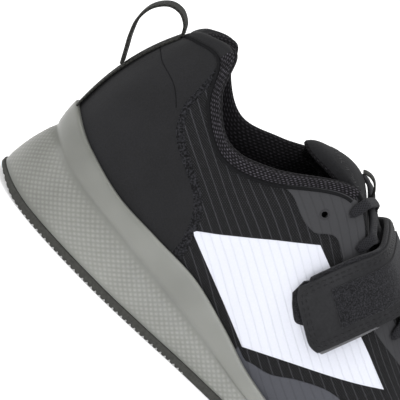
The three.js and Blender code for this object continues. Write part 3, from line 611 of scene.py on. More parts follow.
class Shader:
    """A material that is put together node by node."""

    def __init__(self, name: str) -> None:
        """Starts a material with one surface shader."""
        self.material = bpy.data.materials.new(name)
        self.material.use_nodes = True
        self.tree = self.material.node_tree
        self.surface = self.tree.nodes["Principled BSDF"]

    def add(self, kind: str, settings: dict | None = None, **links: object) -> bpy.types.Node:
        """Adds a node with its settings and links.

        Args:
            kind: the node's type.
            settings: attributes, or values of inputs named by their label or number.
            links: inputs by label, with _ for a space, and the output that feeds each.

        Returns:
            The node.
        """
        node = self.tree.nodes.new(kind)
        for key, value in (settings or {}).items():
            if isinstance(key, str) and hasattr(node, key):
                setattr(node, key, value)
            else:
                node.inputs[key].default_value = value
        for key, value in links.items():
            label = int(key[1:]) if key[0] == "i" and key[1:].isdigit() else key.replace("_", " ")
            self.tree.links.new(value, node.inputs[label])
        return node

    def set(self, **values: object) -> None:
        """Sets the surface shader's own sockets, or links an output to one."""
        for key, value in values.items():
            socket = self.surface.inputs[key.replace("_", " ")]
            if isinstance(value, Socket):
                self.tree.links.new(value, socket)
            else:
                socket.default_value = value


class Line(Enum):
    """Which way a pattern's lines run over the cloth map; each value is the map's share of X and of Y."""

    ACROSS = (1.0, 0.0)
    ALONG = (0.0, 1.0)
    FALLING = (0.34, 0.94)


def cloth_lines(shader: Shader, line: Line, pitch_mm: float) -> Socket:
    """The cloth map square to a set of lines, counted in repeats of a pitch."""
    uv = shader.add("ShaderNodeUVMap", {"uv_map": "cloth"})
    scale = 1000.0 / pitch_mm
    square = shader.add("ShaderNodeVectorMath", {"operation": "DOT_PRODUCT"}, i0=uv.outputs[0])
    square.inputs[1].default_value = (line.value[0] * scale, line.value[1] * scale, 0.0)
    return square.outputs["Value"]


def maths(shader: Shader, operation: str, first: object, second: object = None) -> Socket:
    """One arithmetic step; each operand is an output or a number."""
    node = shader.add("ShaderNodeMath", {"operation": operation})
    for slot, value in enumerate((first, second)):
        if isinstance(value, Socket):
            shader.tree.links.new(value, node.inputs[slot])
        elif value is not None:
            node.inputs[slot].default_value = value
    return node.outputs[0]


def blend(shader: Shader, first: Socket, second: Socket, share: float) -> Socket:
    """The two outputs added up, the first at its share and the second at the rest."""
    rest = maths(shader, "MULTIPLY", second, 1 - share)
    return maths(shader, "ADD", rest, maths(shader, "MULTIPLY", first, share))


def peaks(shader: Shader, repeats: Socket, sharpness: float) -> Socket:
    """A row of ridges, one for each repeat, from 0 between them to 1 on them."""
    wave = maths(shader, "COSINE", maths(shader, "MULTIPLY", repeats, 2 * math.pi))
    share = maths(shader, "MULTIPLY_ADD", wave, 0.5)
    share.node.inputs[2].default_value = 0.5
    return maths(shader, "POWER", share, sharpness)


def noise_mm(shader: Shader, grain_mm: float, detail: float = 3.0, rough: float = 0.55) -> Socket:
    """Cloudy noise whose grain has a size in millimetres, in object space."""
    where = shader.add("ShaderNodeTexCoord")
    node = shader.add(
        "ShaderNodeTexNoise",
        {"Scale": 1000.0 / grain_mm, "Detail": detail, "Roughness": rough},
        Vector=where.outputs["Object"],
    )
    return node.outputs[0]


def tint(
    shader: Shader, share: Socket, dark: str, light: str, low: float = 0.0, high: float = 1.0
) -> Socket:
    """Colours from dark to light as a share goes from low to high."""
    ramp = shader.add("ShaderNodeValToRGB", i0=share)
    for stop, (at, code) in zip(ramp.color_ramp.elements, ((low, dark), (high, light))):
        stop.position = at
        stop.color = srgb(code)
    return ramp.outputs[0]


def relief(shader: Shader, height: Socket, depth_mm: float, below: Socket | None = None) -> Socket:
    """Bump of a depth in millimetres, on top of another bump."""
    node = shader.add("ShaderNodeBump", {"Strength": 1.0, "Distance": depth_mm / 1000.0}, Height=height)
    if below is not None:
        shader.tree.links.new(below, node.inputs["Normal"])
    return node.outputs[0]


@dataclass(frozen=True)
class Finish:
    """What every finish has: a name, a dark and a light tone and its gloss."""

    name: str
    dark: str
    light: str
    roughness: float = 0.8
    specular: float = 0.4
    sheen: float = 0.0

    def start(self) -> Shader:
        """The shader with the values that are the same all over."""
        shader = Shader(self.name)
        shader.set(Roughness=self.roughness, Specular_IOR_Level=self.specular, Sheen_Weight=self.sheen)
        shader.set(Sheen_Roughness=0.6)
        return shader

    def done(self, shader: Shader, tone: object, low: float, high: float, bump: object) -> Look:
        """The material, coloured from dark to light as the tone goes from low to high, with its relief."""
        shader.set(Base_Color=tint(shader, tone, self.dark, self.light, low, high), Normal=bump)
        return shader.material


@dataclass(frozen=True)
class RibbedCloth(Finish):
    """Plain-woven polyester with thicker ribs at a steady pitch, dyed in the yarn."""

    rib_pitch_mm: float = 4.3
    rib_depth_mm: float = 0.35
    thread_mm: float = 0.9
    rib_light: float = 0.55

    def material(self) -> Look:
        """Faint lighter ribs over the small checks of a plain weave, matte with a little fuzz."""
        shader = self.start()
        ribs = peaks(shader, cloth_lines(shader, Line.FALLING, self.rib_pitch_mm), 26.0)
        warp = peaks(shader, cloth_lines(shader, Line.ACROSS, self.thread_mm), 1.5)
        weft = peaks(shader, cloth_lines(shader, Line.ALONG, self.thread_mm), 1.5)
        weave = maths(shader, "MULTIPLY", warp, weft)
        cloud = noise_mm(shader, 1.6)
        grain = maths(shader, "MULTIPLY", weave, cloud)
        tone = maths(shader, "ADD", grain, maths(shader, "MULTIPLY", ribs, self.rib_light))
        fine = relief(shader, maths(shader, "ADD", weave, cloud), 0.16)
        return self.done(shader, tone, 0.1, 0.9, relief(shader, ribs, self.rib_depth_mm, fine))


@dataclass(frozen=True)
class SmoothCloth(Finish):
    """Brushed microfibre or moulded cloth, dyed through, with no visible thread."""

    grain_mm: float = 0.7
    depth_mm: float = 0.1

    def material(self) -> Look:
        """An even matte face with a fine nap and slow changes of tone."""
        shader = self.start()
        nap = noise_mm(shader, self.grain_mm, 2.0)
        cloud = noise_mm(shader, 22.0, 2.0)
        tone = blend(shader, nap, cloud, 0.6)
        return self.done(shader, tone, 0.3, 0.75, relief(shader, nap, self.depth_mm))


@dataclass(frozen=True)
class Knit(Finish):
    """Spacer knit of two yarns, the lighter one showing as flecks in staggered rows."""

    stitch_mm: float = 1.9
    row_mm: float = 1.5
    depth_mm: float = 0.45
    fleck: float = 0.6

    def material(self) -> Look:
        """Small raised loops in a brick order, with light flecks or dark holes between them."""
        shader = self.start()
        across = cloth_lines(shader, Line.ACROSS, self.stitch_mm)
        rows = cloth_lines(shader, Line.ALONG, self.row_mm)
        wave = peaks(shader, maths(shader, "MULTIPLY", rows, 0.5), 1.0)
        shifted = maths(shader, "ADD", across, maths(shader, "MULTIPLY", wave, 0.5))
        loops = maths(shader, "MULTIPLY", peaks(shader, shifted, 0.9), peaks(shader, rows, 0.8))
        mottle = noise_mm(shader, 1.3, 1.0)
        tone = maths(shader, "MULTIPLY", loops, maths(shader, "MULTIPLY", mottle, 2.0 * self.fleck))
        return self.done(shader, tone, 0.12, 0.85, relief(shader, loops, self.depth_mm))


@dataclass(frozen=True)
class Film(Finish):
    """Thermoplastic film pressed on cloth, so the ribs below show through a little."""

    rib_pitch_mm: float = 4.2
    rib_depth_mm: float = 0.1
    clear_coat: float = 0.0

    def material(self) -> Look:
        """A nearly smooth face with low ribs, fine speckle and a soft sheen."""
        shader = self.start()
        shader.set(Coat_Weight=self.clear_coat, Coat_Roughness=0.35)
        ribs = peaks(shader, cloth_lines(shader, Line.FALLING, self.rib_pitch_mm), 16.0)
        speckle = noise_mm(shader, 0.8, 2.0)
        shade = maths(shader, "MULTIPLY_ADD", speckle, 0.3)
        tone = maths(shader, "SUBTRACT", shade, maths(shader, "MULTIPLY", ribs, 0.25))
        fine = relief(shader, speckle, 0.04)
        return self.done(shader, tone, 0.2, 0.7, relief(shader, ribs, self.rib_depth_mm, fine))


@dataclass(frozen=True)
class ClearPlastic(Finish):
    """Injection-moulded thermoplastic polyurethane, tinted grey and half clear."""

    depth_light: float = 0.35

    def material(self) -> Look:
        """Light sinks in and comes back softly, with a broad gloss and slightly uneven tone."""
        shader = self.start()
        shader.set(Subsurface_Weight=self.depth_light, Subsurface_Scale=0.6)
        shader.set(Subsurface_Radius=(0.006, 0.006, 0.005))
        shader.set(Coat_Weight=0.25, Coat_Roughness=0.25, IOR=1.5)
        cloud = noise_mm(shader, 30.0, 2.0)
        # The mark attribute carries the midsole's painted highlight on its raised lozenges, and its darkening
        # towards the heel.
        mark = shader.add("ShaderNodeAttribute", {"attribute_name": "mark"})
        tone = blend(shader, mark.outputs["Fac"], cloud, 0.65)
        return self.done(shader, tone, 0.15, 0.85, relief(shader, noise_mm(shader, 2.5, 2.0), 0.03))


@dataclass(frozen=True)
class Rubber(Finish):
    """Moulded solid rubber with the mould's fine grain."""

    def material(self) -> Look:
        """Dull and even, a little lighter on the high spots of its grain."""
        shader = self.start()
        grain = noise_mm(shader, 1.1, 4.0)
        return self.done(shader, grain, 0.3, 0.8, relief(shader, grain, 0.12))


@dataclass(frozen=True)
class GrainedSkin(Finish):
    """Polyurethane-coated synthetic leather with an embossed pebble grain."""

    pebble_mm: float = 1.1
    depth_mm: float = 0.12

    def material(self) -> Look:
        """Close small pebbles, with painted shade in the creases between them, half matte."""
        shader = self.start()
        where = shader.add("ShaderNodeTexCoord")
        cells = shader.add(
            "ShaderNodeTexVoronoi",
            {"Scale": 1000.0 / self.pebble_mm, "feature": "SMOOTH_F1"},
            Vector=where.outputs["Object"],
        )
        cloud = noise_mm(shader, 14.0, 2.0)
        # Painted shade: the tone darkens towards the creases between the pebbles.
        tone = maths(shader, "SUBTRACT", cloud, maths(shader, "MULTIPLY", cells.outputs["Distance"], 0.35))
        return self.done(shader, tone, 0.1, 0.6, relief(shader, cells.outputs["Distance"], -self.depth_mm))


@dataclass(frozen=True)
class Pile(Finish):
    """Looped or hooked nylon pile."""

    tuft_mm: float = 1.0
    depth_mm: float = 0.6

    def material(self) -> Look:
        """Deep black tufts with lighter tips that catch the light."""
        shader = self.start()
        tufts = noise_mm(shader, self.tuft_mm, 3.0, 0.7)
        return self.done(shader, tufts, 0.42, 0.72, relief(shader, tufts, self.depth_mm))


@dataclass(frozen=True)
class Tape(Finish):
    """Woven polyester tape or flat braid, with slanting yarns that cross."""

    yarn_mm: float = 1.1
    depth_mm: float = 0.25

    def material(self) -> Look:
        """Two sets of slanting yarns make small lozenges, with a painted highlight on their backs."""
        shader = self.start()
        u, v = cloth_lines(shader, Line.ACROSS, self.yarn_mm), cloth_lines(shader, Line.ALONG, self.yarn_mm)
        one = peaks(shader, maths(shader, "ADD", maths(shader, "MULTIPLY", u, 0.5), v), 1.0)
        two = peaks(shader, maths(shader, "SUBTRACT", maths(shader, "MULTIPLY", u, 0.5), v), 1.0)
        yarns = maths(shader, "MAXIMUM", one, two)
        # Painted highlight: the tone is lightest on the backs of the yarns.
        return self.done(shader, yarns, 0.2, 1.0, relief(shader, yarns, self.depth_mm))


@dataclass(frozen=True)
class Paper(Finish):
    """Seamless white paper, lit a little from behind."""

    glow: float = 0.4

    def material(self) -> Look:
        """Matte and almost white, with hardly any change of tone."""
        shader = self.start()
        shader.set(Base_Color=tint(shader, noise_mm(shader, 60.0), self.dark, self.light))
        shader.set(Emission_Color=(1.0, 1.0, 1.0, 1.0), Emission_Strength=self.glow)
        return shader.material


class Finishes:
    """Every finish on the shoe, made once."""

    def __init__(self) -> None:
        """Makes the materials."""
        self.woven = RibbedCloth("ribbed_polyester_cloth", "#111112", "#4c4c50", 0.9, 0.2, 0.05).material()
        self.heel = SmoothCloth("brushed_microfibre_black", "#1a1a1b", "#252527", 0.95, 0.2, 0.05).material()
        knit = Knit("flecked_spacer_knit", "#0d0c0e", "#38363a", 0.95, 0.15, 0.03, 2.5, 1.3, 0.4)
        binding = Knit("braided_collar_binding", "#100f11", "#5e5b62", 0.95, 0.15, 0.03, 1.9, 1.0, 0.3)
        tongue = SmoothCloth("brushed_tongue_cloth", "#0f0f11", "#1b1b1d", 0.95, 0.2, 0.05, 1.0, 0.15)
        self.knit, self.binding, self.tongue = knit.material(), binding.material(), tongue.material()
        self.mesh_band = Pile("dark_air_mesh", "#080809", "#3a3a3e", 0.95, 0.15, 0.03, 0.9, 0.5).material()
        self.eyestay = Film("pressed_grey_film", "#2f2f31", "#3a3a3c", 0.6, 0.25).material()
        self.toe_film = Film("pressed_toe_film", "#404146", "#4c4d53", 0.6, 0.25).material()
        self.white = Film("pressed_white_film", "#d3d5de", "#dfe1ea", 0.6, 0.3, rib_depth_mm=0.16).material()
        self.midsole = ClearPlastic("smoke_clear_polyurethane", "#62635d", "#a3a49e", 0.34, 0.4).material()
        self.outsole = Rubber("moulded_grey_rubber", "#383835", "#4b4b47", 0.8, 0.2).material()
        self.strap = GrainedSkin("grained_synthetic_leather", "#18181a", "#272729", 0.66, 0.25).material()
        self.edge = SmoothCloth("dark_folded_edge", "#0f0f10", "#1b1b1d", 0.9, 0.15).material()
        self.pile = Pile("black_loop_pile", "#08080a", "#3c3c40", 0.95, 0.15, 0.08, 0.55, 0.25).material()
        self.tape = Tape("woven_heel_tape", "#121211", "#33332f", 0.85, 0.2, 0.03).material()
        self.lace = Tape("flat_braided_lace", "#09090a", "#27272b", 0.8, 0.2, 0.03, yarn_mm=0.75).material()
        self.thread = Rubber("sewing_thread", "#08080a", "#1a1a1d", 0.5, 0.35).material()
        self.insole = SmoothCloth("brushed_insole_cloth", "#111112", "#212123", 0.95, 0.1, 0.05).material()
        self.backing = ClearPlastic("clear_grey_strap_backing", "#5a5a5d", "#77777b", 0.4, 0.35).material()
        self.floor = Paper("pale_studio_floor", "#f4f4f4", "#f8f8f8", 0.95, 0.0).material()


def halves(count: int) -> tuple[Array, Array]:
    """Numbers of a ring's points on its outer and its inner side, each pair at the same station."""
    return np.arange(1, count // 2), np.arange(count - 1, count // 2, -1)


def rung_cap(
    mesh: Mesh, ring: Array, flip: bool = False, points: Array | None = None, span: Array | None = None
) -> None:
    """Closes a ring of point numbers by rungs between its two sides.

    Args:
        mesh: the mesh it belongs to.
        ring: the numbers.
        flip: turn the faces round.
        points: points of the rungs between the ring's two sides, one row for each rung.
        span: their cloth map.
    """
    half = len(ring) // 2
    left, right = halves(len(ring))
    inner = [] if points is None else [mesh.grid(points, span)]
    full = np.concatenate([ring[left][:, None], *inner, ring[right][:, None]], axis=1)
    mesh.quads(full, flip=flip)
    for tip, row in ((ring[0], full[0]), (ring[half], full[-1][::-1])):
        for a, b in zip(row[:-1], row[1:]):
            mesh.faces.append(np.array([[tip, a, b]]))


def rungs(ring: Array, count: int) -> tuple[Array, Array]:
    """Points between the two sides of a ring of points, and their shares of the way across."""
    left, right = halves(len(ring))
    span = np.linspace(0, 1, count)[1:-1]
    return mix(ring[left][:, None, :], ring[right][:, None, :], span[None, :, None]), span


def places(count: int) -> Array:
    """Even places round the shoe."""
    return np.arange(count) * COUNT / count


# How the wedge narrows from the outsole up to the crease, at its sides and back: share up, share inwards.
SIDE_TAPER = table("0 0.05, 0.22 -0.05, 0.5 0.02, 0.76 0.34, 1 1")
BACK_TAPER = table("0 0.02, 0.22 0.1, 0.5 0.3, 0.76 0.62, 1 1")


@dataclass
class Sole:
    """The tread, the wedge with its cup and the footbed."""

    looks: Finishes
    columns: int = 1320
    wedge_rows: int = 46
    band_rows: int = 9
    band_swell: float = 0.5
    lattice_pitch: float = 3.1
    lattice_slope: float = 0.85
    lattice_depth: float = 0.28
    rib_pitch: float = 2.6
    rib_pad: float = 0.55
    rib_depth: float = 1.0
    heel_bevel: float = 1.7
    outsole_round: float = 1.0
    rim: float = 14.0
    insole_dish: float = 0.9

    def build(self) -> None:
        """Makes all three pieces."""
        self.outsole()
        self.midsole()
        self.insole()

    def tread(self, points: Array) -> tuple[Array, Array]:
        """How far the underside is cut in by ribs across the shoe and by the bevel under the heel's end.

        Args:
            points: points of the sole, in mm.

        Returns:
            Depths of the ribs and of the bevel in mm, 0 on the flat pads.
        """
        y = points[..., 1]
        phase = np.mod(y / self.rib_pitch, 1.0)
        cut = (phase - self.rib_pad) / (1 - self.rib_pad)
        tooth = np.where(cut < 0, 0.0, np.sin(cut * math.pi))
        share = y / SIZES.sole_length
        heel = smoothstep(share, 0.0, 0.02) * (1 - smoothstep(share, 0.4, 0.42))
        fore = smoothstep(share, 0.52, 0.54) * (1 - smoothstep(share, 0.975, 0.99))
        bevel = self.heel_bevel * (1 - smoothstep(y, -2.0, 15.0))
        return self.rib_depth * tooth * np.maximum(heel, fore), bevel

    def outsole(self) -> None:
        """The rubber: a rounded rim cut by the ribs, and an underside of the same ribs."""
        p = places(self.columns)
        low = FORM.spring(FORM.sole_edge(p)[:, 1])
        thick, edge, bend = SIZES.outsole_thickness, SIZES.outsole_edge, self.outsole_round
        steps = [(thick, 0.6), (thick, 0.4 - edge), (thick - 0.35, -edge), (thick * 0.6, -edge)]
        steps += [(bend * 1.5, -edge), (bend, -edge), (bend * 0.45, -edge * 0.2), (0.0, bend * 0.6)]
        rings = []
        for height, inward in steps:
            ring = FORM.sole_side(p, np.full(len(p), inward), low + height)
            rib, bevel = self.tread(ring)
            ring[:, 2] += rib * max(0.0, 1 - height / (bend * 2.4)) + bevel * (1 - height / thick)
            rings.append(ring)
        for inward in (2.5, 4.5, 7.0, 10.0, self.rim):
            ring = FORM.sole_side(p, np.full(len(p), inward), low)
            ring[:, 2] = FORM.spring(ring[:, 1]) + sum(self.tread(ring))
            rings.append(ring)
        block, _ = rungs(FORM.sole_side(p, np.full(len(p), self.rim), low), 9)
        block[..., 2] = FORM.spring(block[..., 1]) + sum(self.tread(block))
        mesh = Mesh()
        ids = mesh.grid(np.stack(rings), self.unrolled(p, len(rings)))
        mesh.quads(ids, wrap_columns=True, flip=True)
        rung_cap(mesh, ids[0])
        rung_cap(mesh, ids[-1], True, block)
        place_piece(mesh.solid("outsole_rubber", 50), self.looks.outsole, ["outsole"])

    def unrolled(self, p: Array, rows: int) -> Array:
        """A cloth map of the sole's side: run round the edge, and row number."""
        return chart_of(np.arange(rows, dtype=float), arc_lengths(FORM.sole_edge(p), 0))[..., ::-1]

    def lattice(self, run: Array, height: Array, share: Array) -> Array:
        """The wedge's moulded pattern: small raised lozenges where slanting lines cross.

        Args:
            run: distance round the sole's edge, in mm.
            height: height above the outsole, in mm.
            share: height as a share of the wedge.

        Returns:
            Depths in mm; negative goes inwards.
        """
        u = run / self.lattice_pitch * math.pi
        v = height / (self.lattice_pitch * self.lattice_slope) * math.pi
        lumps = np.abs(np.cos(u + v) * np.cos(u - v)) ** 1.2
        fade = smoothstep(share, 0.03, 0.14) * (1 - smoothstep(share, 0.84, 0.98))
        return -self.lattice_depth * (1 - fade * lumps)

    def midsole(self) -> None:
        """The wedge, the smooth band above it with its rounded lip, and the cup inside."""
        p = places(self.columns)
        edge = FORM.sole_edge(p)
        y = edge[:, 1]
        run = arc_lengths(edge, 0)
        base = FORM.spring(y) + SIZES.outsole_thickness + 0.15
        crease, lip, bed = FORM.crease(y), FORM.lip(y), FORM.bed(y)
        crease_in, lip_in = FORM.section(CREASE_IN, y), FORM.section(LIP_IN, y)
        at_back = 1 - smoothstep(y, 4.0, 34.0)
        forward = smoothstep(y, -15.0, 70.0)
        rings, marks = [], []
        for share in np.linspace(0, 1, self.wedge_rows):
            level = np.array(share)
            taper = mix(smooth_table(SIDE_TAPER, level), smooth_table(BACK_TAPER, level), at_back)
            height = mix(base, crease, share)
            dent = self.lattice(run, height - base, share)
            rings.append(FORM.sole_side(p, taper * crease_in - dent, height))
            # Painted highlight: the colour is lighter on the raised lozenges, standing in for the light they
            # catch; it is also darker towards the heel.
            marks.append(mix(0.27, 0.58, forward) + 0.36 * (1 + dent / self.lattice_depth) - 0.18)
        band = np.linspace(0, 0.93, self.band_rows)[1:]
        swell = -self.band_swell * np.sin(math.pi * band)
        for share, inset in [*zip(band, swell), (0.97, 0.12), (0.99, 0.35), (1.0, 0.7)]:
            rings.append(FORM.sole_side(p, mix(crease_in, lip_in, share) + inset, mix(crease, lip, share)))
        for share in (0.985, 0.8, 0.5, 0.2, 0.0):
            height = mix(bed + SIZES.clearance, lip, share)
            rings.append(FORM.skin(p, FORM.up_at(p, height), SIZES.clearance * 0.5))
        last = rings[-1].copy()
        last[:, 2] = bed
        rings.append(last)
        marks += [mix(0.0, 0.46, forward)] * (len(rings) - len(marks))
        mesh = Mesh()
        ids = mesh.grid(np.stack(rings), self.unrolled(p, len(rings)), np.stack(marks))
        mesh.quads(ids, wrap_columns=True)
        rung_cap(mesh, ids[0])
        rung_cap(mesh, ids[-1], flip=True)
        place_piece(mesh.solid("midsole_clear", 60), self.looks.midsole, ["midsole"])

    def insole(self) -> None:
        """The footbed, slightly dished and raised at its edge."""
        p = places(352)
        y = FORM.sole_edge(p)[:, 1]
        inside = -(SIZES.upper_wall + 0.35)
        thick = SIZES.insole_thickness
        rings = []
        for lift, inset in ((0.3, 0.0), (thick * 0.8, 0.0), (thick * 1.05, 0.5), (thick, 1.4)):
            height = FORM.bed(y) + lift
            points = FORM.skin(p, FORM.up_at(p, height + SIZES.clearance), inside - inset)
            points[:, 2] = height
            rings.append(points)
        block, span = rungs(rings[-1], 13)
        block[..., 2] -= self.insole_dish * np.sin(math.pi * span)[None, :]
        mesh = Mesh()
        ids = mesh.grid(np.stack(rings), self.unrolled(p, len(rings)))
        mesh.quads(ids, wrap_columns=True)
        rung_cap(mesh, ids[0])
        rung_cap(mesh, ids[-1], False, block, block[..., :2])
        place_piece(mesh.solid("insole_cloth", 50), self.looks.insole, ["insole"])


RUN_TABLE = arc_lengths(FORM.face(np.linspace(0, COUNT, 529), 0.5), 0)


def cloth_map(place: Array, up: Array) -> Array:
    """Where a point of the wall lies on the flat cloth, in mm: run round the shoe, and length up it."""
    place, up = np.broadcast_arrays(np.asarray(place, float), np.asarray(up, float))
    steps = FORM.face(place[..., None], up[..., None] * np.linspace(0, 1, 17))
    rise = np.linalg.norm(np.diff(steps, axis=-2), axis=-1).sum(axis=-1)
    run = np.interp(place, np.linspace(-COUNT, 2 * COUNT, 3 * 528 + 1), laps(RUN_TABLE))
    return np.stack([run, rise], axis=-1)


def laps(table: Array) -> Array:
    """A table of one round, continued for the round before and the round after."""
    return np.concatenate([table[:-1] - table[-1], table[:-1], table + table[-1]])


def edged(count: int, length: float, soft: float = 0.8) -> tuple[Array, Array]:
    """Shares across a sheet with close rows at both edges, and the sheet's fullness there.

    Args:
        count: even rows between the edges.
        length: the sheet's length in mm.
        soft: width of the rounded edge, in mm.

    Returns:
        Shares from 0 to 1, and fullness from 0 at the edge to 1 inside.
    """
    near = np.array([0.0, 0.12, 0.45, 1.0]) * soft / length
    shares = np.concatenate([near, np.linspace(0, 1, count + 2)[1:-1], 1 - near[::-1]])
    shares = np.unique(np.round(shares[(shares < 0.5 - 1e-9) | (shares > 0.5 - 1e-9)], 6))
    depth = np.clip(np.minimum(shares, 1 - shares) * length / soft, 0, 1)
    return shares, np.sqrt(1 - (1 - depth) ** 2)


@dataclass
class Crease:
    """A soft trough or ridge of the worn-in cloth, along a curve on the wall."""

    start: tuple[float, float]
    end: tuple[float, float]
    depth: float
    width: float

    def relief(self, place: Array, up: Array) -> Array:
        """Its height at points of the wall; negative for a trough."""
        a, b = np.array(self.start), np.array(self.end)
        scale = np.array([24.0, 70.0])
        point = np.stack([place, up], axis=-1) * scale
        run = (b - a) * scale
        share = np.clip(((point - a * scale) @ run) / (run @ run), 0, 1)
        gap = np.linalg.norm(point - a * scale - share[..., None] * run, axis=-1)
        ends = np.sin(math.pi * np.clip(share, 0.02, 0.98)) ** 0.5
        return self.depth * ends * np.exp(-((gap / self.width) ** 2))


CREASES = [
    Crease((8.3, 0.96), (9.0, 0.45), -0.9, 3.2),
    Crease((7.5, 0.9), (8.2, 0.5), 0.6, 4.0),
    Crease((9.4, 0.9), (9.7, 0.45), -0.5, 2.8),
    Crease((5.2, 0.8), (5.9, 0.42), -0.7, 4.0),
    Crease((4.4, 0.55), (5.4, 0.35), 0.5, 4.0),
    Crease((13.7, 0.96), (13.1, 0.45), -0.9, 3.2),
    Crease((14.5, 0.9), (13.9, 0.5), 0.6, 4.0),
    Crease((16.8, 0.8), (16.2, 0.4), -0.7, 4.0),
]


def wall(place: Array, up: Array, distance: Array = 0.0) -> Array:
    """A point of the upper's wall with its creases."""
    place, up = np.broadcast_arrays(np.asarray(place, float), np.asarray(up, float))
    relief = sum(crease.relief(np.mod(place, COUNT), up) for crease in CREASES)
    return FORM.skin(place, up, relief + distance)


@dataclass
class Eyelet:
    """One hole for the lace."""

    side: int
    row: int
    place: float
    up: float

    def centre(self, distance: float = 0.0) -> Array:
        """Its middle on the wall."""
        return wall(np.array(self.place), np.array(self.up), distance)

    def axis(self) -> Array:
        """The direction out of the shoe."""
        return FORM.normal(np.array(self.place), np.array(self.up))


def eyelets(rows: int = 6) -> list[Eyelet]:
    """The working eyelets, and the spare one at the top of each side as row -1."""
    holes = []
    for side in (1, -1):
        for row in range(rows):
            place = mix(THROAT_TOP + 0.16, TOE - 2.4, row / (rows - 1))
            holes.append(Eyelet(side, row, on(side, place), 0.93))
        holes.append(Eyelet(side, -1, on(side, THROAT_TOP - 0.13), 0.82))
    return holes


def frame_at(axis: Array) -> tuple[Array, Array]:
    """Two directions square to an axis."""
    first = unit(np.cross(axis, np.array([0.0, 0.0, 1.0])))
    return first, np.cross(axis, first)


def disc_ring(centre: Array, axis: Array, radius: float, count: int) -> Array:
    """Points of a circle round an axis."""
    first, second = frame_at(axis)
    turn = np.arange(count) * 2 * math.pi / count
    return centre + radius * (np.cos(turn)[:, None] * first + np.sin(turn)[:, None] * second)


def punch(piece: Piece, holes: Iterable[Eyelet]) -> Piece:
    """Cuts the eyelets through a piece."""
    drills = Mesh()
    for hole in holes:
        sections = [disc_ring(hole.centre(d), hole.axis(), SIZES.eyelet_radius, 20) for d in (4.0, -6.5)]
        tube(np.stack(sections), mesh=drills)
    cutter = drills.solid("eyelet_drills")
    cut = piece.modifiers.new("eyelets", "BOOLEAN")
    cut.operation = "DIFFERENCE"
    cut.solver = "EXACT"
    cut.object = cutter
    applied(piece)
    bpy.data.objects.remove(cutter)
    return piece


